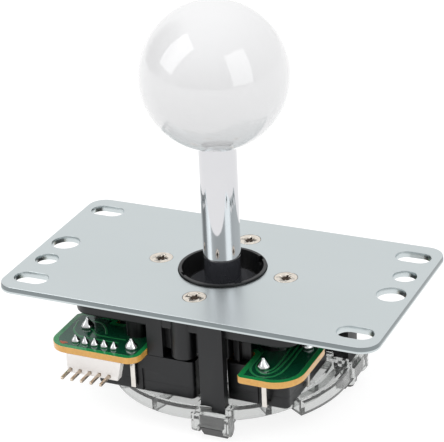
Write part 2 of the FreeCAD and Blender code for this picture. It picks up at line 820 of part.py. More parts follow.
def switch_plunger():
    """Button with a rounded nose and a flange that keeps it in the case."""
    nose_y = plunger_nose_y
    back_y = plunger_back_y
    half_w = plunger_width / 2
    half_h = plunger_height / 2
    stem = box(-half_w, half_w, back_y, nose_y, plunger_z - half_h, plunger_z + half_h)
    nose = [e for e in stem.Edges if e.BoundBox.YMin > nose_y - 0.001 and e.BoundBox.ZLength < 0.001]
    stem = stem.makeFillet(plunger_tip_radius, nose)
    lip = plunger_flange_lip
    flange_block = box(-half_w, half_w, back_y, back_y + plunger_flange,
                       plunger_z - half_h - lip, plunger_z + half_h + lip)
    return stem.fuse(flange_block).removeSplitter()


def switch_contacts():
    """Moving blade behind the plunger and the fixed contact that it meets."""
    blade_y = plunger_back_y - plunger_travel - blade_gap
    low = plunger_z - blade_width / 2
    high = plunger_z + blade_width / 2
    blade_left = switch_far_x + switch_wall + blade_start_gap
    blade_right = switch_end_x - switch_wall - blade_end_gap
    root_right = blade_left + blade_root_width
    root_y = blade_y - blade_root_depth
    blade = box(blade_left, blade_right, blade_y - blade_thickness, blade_y, low, high)
    root = box(blade_left, root_right, root_y, blade_y - blade_thickness, low, high)
    foot = box(blade_left, root_right, root_y, blade_y, switch_seam, low)
    rivet_y = blade_y - blade_thickness - contact_gap
    stud = Part.makeCylinder(contact_diameter / 2, contact_thickness,
                             Vector(open_terminal_x, rivet_y - contact_thickness, plunger_z), Vector(0, 1, 0))
    anvil_y = rivet_y - contact_thickness
    anvil_left = open_terminal_x - anvil_width / 2
    anvil = box(anvil_left, anvil_left + anvil_width, anvil_y - anvil_thickness, anvil_y, switch_seam, high)
    tip = Part.makeCylinder(contact_diameter / 2, contact_thickness,
                            Vector(open_terminal_x, blade_y - blade_thickness - contact_thickness, plunger_z),
                            Vector(0, 1, 0))
    return Part.makeCompound([fuse([blade, root, foot, tip]), fuse([anvil, stud])])


def switch_terminals(side):
    """Two flat pins that leave the case low down and rise through the board."""
    common, opening = terminal_places(side)
    half = terminal_width / 2
    thick = terminal_thickness / 2
    low = terminal_foot_z - thick
    high = terminal_foot_z + thick
    inner = switch_wall - running_clearance
    x, y = opening
    rise_a = box(x - half, x + half, y - thick, y + thick, low, board_top_z)
    foot_a = box(x - half, x + half, y - thick, switch_face_y + inner, low, high)
    x, y = common
    rise_b = box(x - thick, x + thick, y - half, y + half, low, board_top_z)
    foot_b = box(x - thick, switch_far_x + inner, y - half, y + half, low, high)
    return Part.makeCompound([fuse([rise_a, foot_a]), fuse([rise_b, foot_b])])


# Gate and restrictor
def restrictor_opening():
    """Half width of the square hole that stops the lever on each side."""
    arm = pivot_centre_z - restrictor_bottom
    return arm * math.tan(tilt) / math.cos(tilt) + actuator_tip_diameter / 2 / math.cos(tilt) + gate_clearance


def restrictor_plate():
    half = restrictor_opening()
    disc = cylinder(restrictor_diameter, restrictor_bottom, restrictor_top_z)
    below = restrictor_bottom - 1
    hole = rounded_block(2 * half, 2 * half, restrictor_corner_radius, below, restrictor_top_z + 1)
    edges = level_edges(disc, restrictor_top_z)
    return disc.makeChamfer(plate_edge_break, edges).cut(hole)


def gate_loop(shift):
    """Loop at a leg: a bar between two cheeks, with rounded ears below them."""
    left = leg_left - loop_clearance
    right = leg_right + loop_clearance
    bar_back = leg_face_y - shift - loop_clearance
    bar_front = bar_back - loop_bar_thickness
    bar_top = loop_bar_bottom_z + loop_bar_height
    bar = box(left - loop_side, right + loop_side, bar_front, bar_back, loop_bar_bottom_z, bar_top)
    rim_inside = gate_outer_diameter / 2 - gate_rim_wall
    cheek_end = -math.sqrt(rim_inside ** 2 - (right + loop_side) ** 2)
    ear_radius = ear_length / 2
    ear_centre_z = ear_bottom_z + ear_radius
    pieces = [bar]
    for start in (left - loop_side, right):
        end = start + loop_side
        pieces.append(box(start, end, bar_back, cheek_end, gate_bottom_z, gate_top_z))
        pieces.append(box(start, end, bar_front, bar_front + ear_length, ear_centre_z, bar_top))
        centre = Vector(start, bar_front + ear_radius, ear_centre_z)
        pieces.append(Part.makeCylinder(ear_radius, loop_side, centre, Vector(1, 0, 0)))
    return Part.makeCompound(pieces)


def gate_leg_slot(shift):
    """Room for a leg and its rib in the gate's rim and roof."""
    left = leg_left - loop_clearance
    right = leg_right + loop_clearance
    back = leg_back_y - shift / 2
    slot = box(left, right, leg_face_y - shift - loop_clearance, back + loop_clearance,
               gate_bottom_z - loop_bar_height, gate_top_z + 1)
    rib_slot = box(rib_left - loop_clearance, rib_left + leg_rib_width + loop_clearance, back,
                   back + leg_rib_depth + loop_clearance, gate_top_z - 1, gate_top_z + 1)
    return slot.fuse(rib_slot)


def wedge(radius, start_deg, end_deg, z0, z1):
    """Slice of a disc between two angles."""
    slice_shape = Part.makeCylinder(radius, z1 - z0, Vector(0, 0, z0), z_axis, end_deg - start_deg)
    return turned_copy(slice_shape, start_deg)


def gate_tab():
    """Finger tab beside the right leg, standing out from the rim and hollow from below."""
    outer = gate_outer_diameter / 2 + gate_tab_reach
    inner = outer - gate_rim_wall
    wall_deg = math.degrees(gate_rim_wall / inner)
    roof_bottom = gate_top_z - gate_roof_thickness
    body = wedge(outer, gate_tab_start_deg, gate_tab_end_deg, gate_bottom_z, gate_top_z)
    hollow_start = gate_tab_start_deg + wall_deg
    hollow = wedge(inner, hollow_start, gate_tab_end_deg - wall_deg, gate_bottom_z - 1, roof_bottom)
    inside = cylinder(gate_outer_diameter - gate_rim_wall, gate_bottom_z - 1, gate_top_z + 1)
    return body.cut(hollow).cut(inside)


def gate_ribs():
    """Ribs between the hub round the restrictor and the outer rim."""
    inner = restrictor_diameter / 2 + loop_clearance
    outer = gate_outer_diameter / 2 - gate_rim_wall / 2
    rib = box(-gate_rib_thickness / 2, gate_rib_thickness / 2, -outer, -inner, gate_bottom_z, gate_top_z)
    step = 360.0 / gate_rib_count
    return [turned_copy(rib, step * (k + 0.5)) for k in range(gate_rib_count)]


def gate_holder():
    hub = restrictor_diameter + 2 * (loop_clearance + hub_wall)
    room = restrictor_diameter + 2 * loop_clearance
    roof_bottom = gate_top_z - gate_roof_thickness
    rim = cylinder(gate_outer_diameter, gate_bottom_z, gate_top_z)
    rim = rim.makeFillet(gate_rim_wall / 2, level_edges(rim, gate_bottom_z))
    rim = rim.cut(cylinder(gate_outer_diameter - 2 * gate_rim_wall, gate_bottom_z - 1, roof_bottom))
    tab = gate_tab()
    solids = [rim, cylinder(hub, gate_bottom_z, gate_top_z), tab, turned_copy(tab, 180)] + gate_ribs()
    for loop in around(gate_loop(0.0), gate_loop(leg_side_shift)):
        solids += loop.Solids
    holder = solids[0].multiFuse(solids[1:])
    cuts = [cylinder(room, restrictor_bottom, gate_top_z + 1)]
    cuts.append(cylinder(gate_hole_diameter, gate_bottom_z - 1, gate_top_z))
    for cut in cuts + around(gate_leg_slot(0.0), gate_leg_slot(leg_side_shift)):
        holder = holder.cut(cut)
    clip = box(-clip_width / 2, clip_width / 2, room / 2 - clip_reach, room / 2 + hub_wall / 2,
               restrictor_top_z + seat_clearance, gate_top_z)
    step = 360.0 / clip_count
    clips = [turned_copy(clip, step * (k + 0.5)) for k in range(clip_count)]
    return holder.multiFuse(clips).removeSplitter()


def main():
    os.makedirs("parts", exist_ok=True)
    save("mounting_plate", mounting_plate())
    save("main_body", main_body())
    save("ball_top", ball_top())
    save("ball_insert", ball_insert())
    save("shaft", shaft())
    save("pivot", pivot())
    save("spring_seat", spring_seat())
    save("spring", spring())
    save("actuator", actuator())
    save("e_ring", e_ring())
    save("circuit_board", circuit_board())
    save("solder_joints", solder_joints())
    save("header_housing", header_housing())
    save("header_pins", header_pins())
    save("gate_holder", gate_holder())
    save("restrictor_plate", restrictor_plate())
    repeated = {
        "plate_screw": plate_screw(),
        "switch_cover": switch_cover(),
        "switch_base": switch_base(),
        "switch_plunger": switch_plunger(),
        "switch_contacts": switch_contacts(),
    }
    for name, shape in repeated.items():
        for side, copy in zip(side_names, quarter_turns(shape)):
            save(name + "_" + side, copy)
    for k, side in enumerate(side_names):
        save("switch_terminals_" + side, turned_copy(switch_terminals(side), 90.0 * k))


main()
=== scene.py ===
"""Looks of an arcade joystick lever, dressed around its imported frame.

Blender works in metres, and the sizes in this file are written in millimetres.
"""

import logging
import math
from dataclasses import dataclass, field
from enum import Enum
from typing import Any, Iterable, Sequence

import bmesh
import bpy
from mathutils import Matrix, Vector
from mathutils.geometry import delaunay_2d_cdt


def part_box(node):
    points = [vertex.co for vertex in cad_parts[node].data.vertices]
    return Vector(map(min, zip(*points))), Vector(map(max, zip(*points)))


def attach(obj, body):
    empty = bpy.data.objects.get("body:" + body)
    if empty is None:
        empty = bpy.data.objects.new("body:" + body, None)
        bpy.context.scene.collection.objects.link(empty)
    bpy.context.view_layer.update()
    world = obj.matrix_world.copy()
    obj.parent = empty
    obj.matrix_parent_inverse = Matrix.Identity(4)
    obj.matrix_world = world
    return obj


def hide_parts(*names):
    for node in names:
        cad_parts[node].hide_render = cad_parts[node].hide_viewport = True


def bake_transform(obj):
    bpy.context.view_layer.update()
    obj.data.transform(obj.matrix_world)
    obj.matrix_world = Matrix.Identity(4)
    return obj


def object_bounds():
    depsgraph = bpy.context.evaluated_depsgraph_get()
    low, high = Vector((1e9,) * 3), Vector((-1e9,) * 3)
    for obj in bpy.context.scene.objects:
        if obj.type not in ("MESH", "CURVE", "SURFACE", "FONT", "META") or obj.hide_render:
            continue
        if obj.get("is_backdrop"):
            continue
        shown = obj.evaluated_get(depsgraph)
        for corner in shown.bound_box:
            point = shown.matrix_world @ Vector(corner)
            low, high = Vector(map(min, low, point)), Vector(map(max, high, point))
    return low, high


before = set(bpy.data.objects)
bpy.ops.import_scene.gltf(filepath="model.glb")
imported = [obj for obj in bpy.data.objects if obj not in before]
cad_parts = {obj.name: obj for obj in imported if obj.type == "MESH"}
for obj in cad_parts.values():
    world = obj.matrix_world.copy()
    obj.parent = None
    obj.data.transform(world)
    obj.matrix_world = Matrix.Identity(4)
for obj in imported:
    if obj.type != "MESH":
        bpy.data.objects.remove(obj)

MM = 0.001
SIDES = ("front", "right", "back", "left")
KEEP_INSIDE = 1  # output type of delaunay_2d_cdt: triangles inside the outlines
WELD_MM = 0.001  # vertices closer than this are one
log = logging.getLogger("joystick")


class Slot(Enum):
    """Material slots of the record, passed along with each piece but not kept."""

    PLATE = "plate_steel"
    SCREW = "screw_steel"
    HOUSING = "housing_plastic"
    PIVOT = "pivot_plastic"
    BALL = "ball_plastic"
    INSERT = "insert_brass"
    SHAFT = "shaft_chrome"
    SPRING = "spring_steel"
    BOARD = "board_laminate"
    SOLDER = "solder"
    PIN = "pin_metal"
    HEADER = "header_plastic"
    SWITCH = "switch_plastic"
    PLUNGER = "plunger_plastic"
    CONTACT = "contact_brass"
    GATE = "gate_clear"


def linear(colour: str) -> tuple[float, float, float, float]:
    """Turn an sRGB hex colour into linear values.

    Args:
        colour: six hex digits with a leading hash.

    Returns:
        Red, green, blue and full opacity.
    """
    parts = [int(colour[k:k + 2], 16) / 255 for k in (1, 3, 5)]
    red, green, blue = [c / 12.92 if c <= 0.04045 else ((c + 0.055) / 1.055) ** 2.4 for c in parts]
    return red, green, blue, 1.0


def empty_tree(owner: bpy.types.Material | bpy.types.World) -> bpy.types.NodeTree:
    """Give a material or a world nodes of its own, none yet.

    Args:
        owner: what the nodes are for.

    Returns:
        Its empty node tree.
    """
    owner.use_nodes = True
    owner.node_tree.nodes.clear()
    return owner.node_tree


def add_node(tree: bpy.types.NodeTree, kind: str, settings: dict[Any, Any] | None = None,
             links: dict[Any, bpy.types.NodeSocket | bpy.types.Node] | None = None) -> bpy.types.Node:
    """Add one shader node with its settings and links.

    Args:
        tree: node tree that takes the node.
        kind: Blender's node type, without the ShaderNode that it starts with.
        settings: values by attribute name, or by input name or number.
        links: what feeds an input, by the input's name or number: an output, or a node for its first output.

    Returns:
        The new node.
    """
    node = tree.nodes.new("ShaderNode" + kind)
    for key, value in (settings or {}).items():
        if isinstance(key, str) and hasattr(node, key):
            setattr(node, key, value)
        else:
            node.inputs[key].default_value = value
    for key, source in (links or {}).items():
        output = source.outputs[0] if isinstance(source, bpy.types.Node) else source
        tree.links.new(output, node.inputs[key])
    return node


@dataclass(frozen=True)
class Finish:
    """A plain surface: one principled shader with a fine grain in its height and gloss."""

    name: str
    colour: str
    metallic: float = 0.0
    roughness: float = 0.4
    roughness_spread: float = 0.05
    grain_mm: float = 0.25
    grain_height_mm: float = 0.004
    bump: float = 0.6
    cloud_mm: float = 12.0
    cloud_colour: str = ""
    coat: float = 0.0
    coat_roughness: float = 0.05
    ior: float = 1.5
    transmission: float = 0.0
    # Painted shade: these darken the colour in corners and recesses, where less light falls
    painted_shade_mm: float = 0.0
    painted_shade_dark: float = 0.1
    painted_shade_range: tuple[float, float] = (0.2, 0.8)
    stretch: tuple[float, float, float] = (1.0, 1.0, 1.0)

    def shader(self, tree: bpy.types.NodeTree) -> bpy.types.Node:
        """Build the principled shader of this finish.

        Args:
            tree: node tree of the material.

        Returns:
            The principled node.
        """
        place = add_node(tree, "TexCoord")
        spread = add_node(tree, "Mapping", {"Scale": self.stretch}, {"Vector": place.outputs["Object"]})
        cloud, grain = [add_node(tree, "TexNoise", {"Scale": 1 / (size * MM), "Detail": detail},
                                 {"Vector": spread}).outputs["Fac"]
                        for size, detail in ((self.cloud_mm, 4.0), (self.grain_mm, 3.0))]
        second = self.cloud_colour or self.colour
        tint = add_node(tree, "Mix", {"data_type": "RGBA", 6: linear(self.colour), 7: linear(second)}, {0: cloud})
        # Painted shade: occlusion darkens the colour in corners and recesses
        if self.painted_shade_mm:
            corner = add_node(tree, "AmbientOcclusion", {"samples": 6, "Distance": self.painted_shade_mm * MM})
            start, end = self.painted_shade_range
            shade = add_node(tree, "MapRange", {"From Min": start, "From Max": end, "To Min": self.painted_shade_dark},
                             {"Value": corner.outputs["AO"]})
            tint = add_node(tree, "Mix", {"data_type": "RGBA", "blend_type": "MULTIPLY", 0: 1.0},
                            {6: tint.outputs[2], 7: shade})
        smoothest, dullest = max(0.01, self.roughness - self.roughness_spread), self.roughness + self.roughness_spread
        gloss = add_node(tree, "MapRange", {"To Min": smoothest, "To Max": dullest}, {"Value": cloud})
        height = add_node(tree, "Bump", {"Strength": self.bump, "Distance": self.grain_height_mm * MM},
                          {"Height": grain})
        settings = {"Metallic": self.metallic, "IOR": self.ior, "Coat Weight": self.coat,
                    "Coat Roughness": self.coat_roughness, "Transmission Weight": self.transmission}
        return add_node(tree, "BsdfPrincipled", settings,
                        {"Base Color": tint.outputs[2], "Roughness": gloss, "Normal": height})

    def overlay(self, tree: bpy.types.NodeTree, node: bpy.types.Node, share: bpy.types.NodeSocket,
                colours: Sequence[str], pattern: bpy.types.NodeSocket | None = None) -> bpy.types.Node:
        """Lay another colour over a part of the surface.

        Args:
            tree: node tree of the material.
            node: the principled node.
            share: 1 where the other colour shows, 0 where it doesn't.
            colours: the other colour, or the two that the pattern mixes.
            pattern: how the two are mixed.

        Returns:
            The principled node.
        """
        base = node.inputs["Base Color"]
        other = add_node(tree, "Mix", {"data_type": "RGBA", 6: linear(colours[0]), 7: linear(colours[-1])},
                         {0: pattern} if pattern else {})
        both = add_node(tree, "Mix", {"data_type": "RGBA"},
                        {0: share, 6: base.links[0].from_socket, 7: other.outputs[2]})
        tree.links.new(both.outputs[2], base)
        return node

    def material(self) -> bpy.types.Material:
        """Make the material, or give the one that was made before.

        Returns:
            The material.
        """
        known = bpy.data.materials.get(self.name)
        if known:
            return known
        made = bpy.data.materials.new(self.name)
        tree = empty_tree(made)
        surface = self.shader(tree)
        add_node(tree, "OutputMaterial", {}, {"Surface": surface})
        return made


@dataclass(frozen=True)
class SolderMask(Finish):
    """Green solder mask over laminate, with the cut edge of the laminate showing tan."""

    edge_colours: tuple[str, str] = ("#D9A650", "#C08B3C")
    weave_mm: float = 0.6
    level_limit: float = 0.8

    def shader(self, tree: bpy.types.NodeTree) -> bpy.types.Node:
        """Build the mask on the faces and the laminate on the edges.

        Args:
            tree: node tree of the material.

        Returns:
            The principled node.
        """
        facing = add_node(tree, "NewGeometry")
        way = add_node(tree, "SeparateXYZ", {}, {"Vector": facing.outputs["Normal"]})
        level = add_node(tree, "Math", {"operation": "ABSOLUTE"}, {0: way.outputs["Z"]})
        side = add_node(tree, "Math", {"operation": "LESS_THAN", 1: self.level_limit}, {0: level})
        place = add_node(tree, "TexCoord")
        weave = add_node(tree, "TexNoise", {"Scale": 1 / (self.weave_mm * MM), "Detail": 2.0},
                         {"Vector": place.outputs["Object"]})
        return self.overlay(tree, super().shader(tree), side.outputs[0], self.edge_colours, weave.outputs["Fac"])


@dataclass(frozen=True)
class RecessedHead(Finish):
    """Plated steel with painted shade at the bottom of its driver recess."""

    recess_shade_colour: str = "#4A4038"
    recess_shade_top_mm: float = -0.06
    recess_shade_full_mm: float = -0.4

    def shader(self, tree: bpy.types.NodeTree) -> bpy.types.Node:
        """Build the plating, with painted shade that darkens it with depth below the head's face.

        Args:
            tree: node tree of the material.

        Returns:
            The principled node.
        """
        place = add_node(tree, "TexCoord")
        at = add_node(tree, "SeparateXYZ", {}, {"Vector": place.outputs["Object"]})
        # Painted shade: the colour darkens with depth into the driver recess
        recess_shaded = add_node(tree, "MapRange",
                          {"From Min": self.recess_shade_top_mm * MM, "From Max": self.recess_shade_full_mm * MM},
                          {"Value": at.outputs["Z"]})
        return self.overlay(tree, super().shader(tree), recess_shaded.outputs["Result"], [self.recess_shade_colour])


@dataclass(frozen=True)
class BlankedSheet(Finish):
    """Plated sheet whose outer sides are dull from the blanking tool above a bright burr."""

    side_colour: str = "#82898B"
    side_mm: tuple[tuple[str, float], ...] = (("X", 46.0), ("Y", 25.0))
    upright_range: tuple[float, float] = (0.75, 0.35)
    dull_mm: float = -1.0
    soft_mm: float = 0.15

    def shader(self, tree: bpy.types.NodeTree) -> bpy.types.Node:
        """Build the plating, darker on the upper part of the outer sides.

        Args:
            tree: node tree of the material.

        Returns:
            The principled node.
        """
        place = add_node(tree, "TexCoord")
        at = add_node(tree, "SeparateXYZ", {}, {"Vector": place.outputs["Object"]})
        facing = add_node(tree, "NewGeometry")
        way = add_node(tree, "SeparateXYZ", {}, {"Vector": facing.outputs["Normal"]})
        far = {}
        for number, (axis, limit) in enumerate(self.side_mm):
            size = add_node(tree, "Math", {"operation": "ABSOLUTE"}, {0: at.outputs[axis]})
            far[number] = add_node(tree, "Math", {"operation": "GREATER_THAN", 1: limit * MM}, {0: size}).outputs[0]
        outer = add_node(tree, "Math", {"operation": "MAXIMUM"}, far)
        tilt = add_node(tree, "Math", {"operation": "ABSOLUTE"}, {0: way.outputs["Z"]})
        start, end = self.upright_range
        upright = add_node(tree, "MapRange", {"From Min": start, "From Max": end}, {"Value": tilt})
        upper = add_node(tree, "MapRange",
                         {"From Min": (self.dull_mm - self.soft_mm) * MM, "From Max": self.dull_mm * MM},
                         {"Value": at.outputs["Z"]})
        side = add_node(tree, "Math", {"operation": "MULTIPLY"}, {0: outer, 1: upright})
        dull = add_node(tree, "Math", {"operation": "MULTIPLY"}, {0: side, 1: upper})
        return self.overlay(tree, super().shader(tree), dull.outputs[0], [self.side_colour])


# Zinc-plated sheet steel, rolled: a cool grey that mirrors what stands on it only softly
ZINC_SHEET = BlankedSheet("zinc_plated_steel_rolled", "#CAD1D3", metallic=1.0, roughness=0.29, roughness_spread=0.03,
                          grain_mm=0.4, grain_height_mm=0.00005, cloud_mm=22.0, cloud_colour="#C5CDCE",
                          stretch=(0.2, 1.0, 1.0))
# Nickel-plated steel, cold headed: bright, with painted shade darkening the cross where the driver goes
NICKEL_SCREW = RecessedHead("nickel_plated_steel_headed", "#F0EAE0", metallic=1.0, roughness=0.2,
                            roughness_spread=0.08, grain_mm=0.35, grain_height_mm=0.008, cloud_mm=0.9,
                            cloud_colour="#CFC5B9")
# Chromed steel, polished: a clean mirror
CHROME_BAR = Finish("chromed_steel_polished", "#D3D3D5", metallic=1.0, roughness=0.06, roughness_spread=0.015,
                    grain_mm=0.9, grain_height_mm=0.0003, cloud_mm=8.0, cloud_colour="#CDCDD0")
# ABS, moulded in a fine-textured tool: deep grey with a soft sheen, with painted shade darkening it in corners and
# recesses
HOUSING_ABS = Finish("abs_black_moulded", "#1B1C1E", roughness=0.36, roughness_spread=0.07, grain_mm=0.22,
                     grain_height_mm=0.006, cloud_mm=9.0, cloud_colour="#17181A", painted_shade_mm=14.0, ior=1.43)
# Acetal, moulded smooth: black with a slightly waxy gloss
PIVOT_ACETAL = Finish("acetal_black_moulded", "#222327", roughness=0.2, roughness_spread=0.05, grain_mm=0.3,
                      grain_height_mm=0.003, cloud_mm=5.0, cloud_colour="#1C1D20")
# Acetal, moulded smooth and coated: its greyer colour than the dry moulding is a painted sheen
SHEEN_PAINTED_ACETAL = Finish("acetal_black_sheen_painted", "#3C3D42", roughness=0.12, roughness_spread=0.06, grain_mm=0.6,
                        grain_height_mm=0.008, cloud_mm=2.5, cloud_colour="#2B2C30", coat=1.0, ior=1.7)
# PBT switch case, moulded: a little darker and smoother than the housing, with painted shade in its corners and
# recesses
SWITCH_PBT = Finish("pbt_black_moulded", "#1A1B1E", roughness=0.34, roughness_spread=0.05, grain_mm=0.18,
                    grain_height_mm=0.004, cloud_mm=6.0, cloud_colour="#161719", painted_shade_mm=14.0, ior=1.43)
# Phenolic resin ball, polished: white with a hard wet gloss
BALL_RESIN = Finish("resin_white_polished", "#D5D5D6", roughness=0.06, roughness_spread=0.01, grain_mm=2.0,
                    grain_height_mm=0.0002, cloud_mm=15.0, cloud_colour="#D3D3D4", coat=0.9, coat_roughness=0.02,
                    ior=1.55)
# Brass, turned: fine rings round the axis
BRASS_TURNED = Finish("brass_turned", "#D2A860", metallic=1.0, roughness=0.25, grain_mm=0.3, grain_height_mm=0.003,
                      cloud_mm=3.0, cloud_colour="#C29A55", stretch=(1.0, 1.0, 6.0))
# Music wire, drawn: grey with a dull shine
MUSIC_WIRE = Finish("spring_steel_drawn", "#A9ABAD", metallic=1.0, roughness=0.24, grain_mm=0.2,
                    grain_height_mm=0.002, cloud_mm=2.0, cloud_colour="#96989B")
# Solder, drawn up by hand: a bright mirror with a slightly wavy skin
SOLDER_TIN = Finish("solder_tin_reflowed", "#E6E7E8", metallic=1.0, roughness=0.1, roughness_spread=0.05,
                    grain_mm=0.5, grain_height_mm=0.02, cloud_mm=1.0, cloud_colour="#D2D4D6")
# Tinned brass strip, stamped: pale bright silver
TIN_STRIP = Finish("tinned_brass_stamped", "#E6E3DE", metallic=1.0, roughness=0.24, grain_mm=0.25,
                   grain_height_mm=0.003, cloud_mm=2.0, cloud_colour="#D3CDC5")
# Tinned wire, drawn square and cut: the brass shows through as a brown cast
TIN_PIN = Finish("tinned_brass_drawn", "#D2C6B8", metallic=1.0, roughness=0.26, grain_mm=0.25,
                 grain_height_mm=0.003, cloud_mm=1.2, cloud_colour="#B9A894")
# Nylon, moulded natural white: soft, with a faint cream cast
HEADER_NYLON = Finish("nylon_white_moulded", "#E9E6E4", roughness=0.42, grain_mm=0.25, grain_height_mm=0.004,
                      cloud_mm=6.0, cloud_colour="#DFDBD8")
# Acetal, moulded red: the part of the switch that moves
PLUNGER_RED = Finish("acetal_red_moulded", "#A3231F", roughness=0.3, grain_mm=0.3, grain_height_mm=0.003,
                     cloud_mm=3.0, cloud_colour="#8E1E1B")
# Copper alloy strip, rolled: warm metal
CONTACT_STRIP = Finish("copper_alloy_strip_rolled", "#C98F5A", metallic=1.0, roughness=0.28, grain_mm=0.2,
                       grain_height_mm=0.002, cloud_mm=3.0, cloud_colour="#B57F4E")
# Polycarbonate, moulded clear: shows what is behind it bent, with bright and dark lines along its edges
CLEAR_PC = Finish("polycarbonate_clear_moulded", "#DFE0DF", roughness=0.06, roughness_spread=0.03, grain_mm=1.5,
                  grain_height_mm=0.03, cloud_mm=6.0, cloud_colour="#D6D8D7", ior=1.5, transmission=0.92)
# Solder mask on bare laminate, coated: light comes through it, so it is the brightest green
GREEN_BOARD = SolderMask("solder_mask_on_laminate", "#1F8B4A", roughness=0.2, roughness_spread=0.04, grain_mm=0.5,
                         grain_height_mm=0.003, cloud_mm=4.0, cloud_colour="#15703F", coat=0.5, coat_roughness=0.08)
# Solder mask on copper, coated: a deep glossy teal
GREEN_POUR = Finish("solder_mask_on_copper", "#0A3A2C", roughness=0.16, roughness_spread=0.04, grain_mm=0.5,
                    grain_height_mm=0.003, cloud_mm=5.0, cloud_colour="#0D4A2C", coat=0.6, coat_roughness=0.06)
# Solder mask over a copper line: stands up a little, and its lighter green is a painted highlight where it catches the
# light
GREEN_TRACE = Finish("solder_mask_on_line", "#2C7F48", roughness=0.2, grain_mm=0.5, grain_height_mm=0.003,
                     cloud_mm=3.0, cloud_colour="#1F6B45", coat=0.5, coat_roughness=0.08)
# Marking ink, dabbed on: dull red-brown
RED_INK = Finish("marking_ink_dabbed", "#B0563C", roughness=0.45, grain_mm=0.3, grain_height_mm=0.01,
                 cloud_mm=0.6, cloud_colour="#8F4D3A")


def new_mesh(name: str, shape: bmesh.types.BMesh, sharp_deg: float = 35.0) -> bpy.types.Mesh:
    """Turn a bmesh into a mesh with smooth faces and sharp corners.

    Args:
        name: name of the mesh.
        shape: geometry, which is freed.
        sharp_deg: edges that turn more than this stay sharp.

    Returns:
        The mesh.
    """
    mesh = bpy.data.meshes.new(name)
    bmesh.ops.recalc_face_normals(shape, faces=shape.faces)
    shape.to_mesh(mesh)
    shape.free()
    mesh.shade_smooth()
    mesh.set_sharp_from_angle(angle=math.radians(sharp_deg))
    return mesh


def in_scene(name: str, data: bpy.types.ID) -> bpy.types.Object:
    """Make an object and link it to the scene.

    Args:
        name: name of the object.
        data: its mesh, lamp or camera.

    Returns:
        The object.
    """
    made = bpy.data.objects.new(name, data)
    bpy.context.scene.collection.objects.link(made)
    return made


def round_points(count: int) -> list[tuple[float, float]]:
    """Points on a circle of radius 1, evenly spread."""
    return [(math.cos(2 * math.pi * k / count), math.sin(2 * math.pi * k / count)) for k in range(count)]


def skin(shape: bmesh.types.BMesh, rings: Sequence[Sequence[bmesh.types.BMVert]]) -> None:
    """Join each ring to the next one with faces.

    Args:
        shape: geometry that takes the faces.
        rings: rings of as many vertices each, or of one vertex where the skin closes to a point.
    """
    for low, high in zip(rings, rings[1:]):
        count = max(len(low), len(high))
        for k in range(count):
            n = (k + 1) % count
            if len(low) == 1:
                shape.faces.new((low[0], high[n], high[k]))
            elif len(high) == 1:
                shape.faces.new((low[k], low[n], high[0]))
            else:
                shape.faces.new((low[k], low[n], high[n], high[k]))


def turned_mesh(name: str, profile: Sequence[tuple[float, float]], segments: int,
                sharp_deg: float) -> bpy.types.Mesh:
    """Turn a profile about the lever's axis.

    Args:
        name: name of the mesh.
        profile: run of (radius, height) in millimetres; radius 0 closes an end.
        segments: facets round the axis.
        sharp_deg: edges that turn more than this stay sharp.

    Returns:
        The mesh.
    """
    shape = bmesh.new()
    rings = []
    for radius, height in profile:
        if radius <= 0:
            rings.append([shape.verts.new((0, 0, height * MM))])
            continue
        rings.append([shape.verts.new((radius * MM * x, radius * MM * y, height * MM))
                      for x, y in round_points(segments)])
    skin(shape, rings)
    bmesh.ops.remove_doubles(shape, verts=shape.verts, dist=WELD_MM / 2 * MM)
    return new_mesh(name, shape, sharp_deg)


def arc(centre: tuple[float, float], radius: float, start_deg: float, end_deg: float,
        steps: int) -> list[tuple[float, float]]:
    """Points along an arc in the (radius, height) plane.

    Args:
        centre: centre of the arc.
        radius: its radius.
        start_deg: first angle, counted from the radius axis.
        end_deg: last angle.
        steps: number of stretches.

    Returns:
        The points, both ends included.
    """
    points = []
    for k in range(steps + 1):
        angle = math.radians(start_deg + (end_deg - start_deg) * k / steps)
        points.append((centre[0] + radius * math.cos(angle), centre[1] + radius * math.sin(angle)))
    return points


def face_loops(node: str, height: float) -> list[list[Vector]]:
    """Outlines of a node's level face, with the material on their left.

    Args:
        node: name of the node.
        height: height of the face, in millimetres.

    Returns:
        Closed runs of (x, y) points in millimetres.
    """
    shape = bmesh.new()
    shape.from_mesh(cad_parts[node].data)
    bmesh.ops.remove_doubles(shape, verts=shape.verts, dist=WELD_MM * MM)
    shape.verts.index_update()
    level = {f for f in shape.faces if f.normal.z > 0.9 and all(abs(v.co.z / MM - height) < 0.02 for v in f.verts)}
    follow: dict[int, int] = {}
    for face in level:
        for corner in face.loops:
            if not any(f in level for f in corner.edge.link_faces if f is not face):
                follow[corner.vert.index] = corner.link_loop_next.vert.index
    places = {v.index: Vector((v.co.x / MM, v.co.y / MM)) for v in shape.verts}
    shape.free()
    loops = []
    while follow:
        here = next(iter(follow))
        run: list[Vector] = []
        while here in follow:
            if not run or (places[here] - run[-1]).length > 0.01:
                run.append(places[here])
            here = follow.pop(here)
        loops.append(run)
    return loops


def inset(loop: Sequence[Vector], distance: float) -> list[Vector]:
    """Move an outline into its material.

    Args:
        loop: closed run of points, material on its left.
        distance: how far, in millimetres.

    Returns:
        The moved points.
    """
    moved = []
    for k, point in enumerate(loop):
        before = (point - loop[k - 1]).normalized()
        after = (loop[(k + 1) % len(loop)] - point).normalized()
        left = Vector((-before.y - after.y, before.x + after.x)).normalized()
        lean = max(0.5, left.dot(Vector((-after.y, after.x))))
        moved.append(point + left * (distance / lean))
    return moved


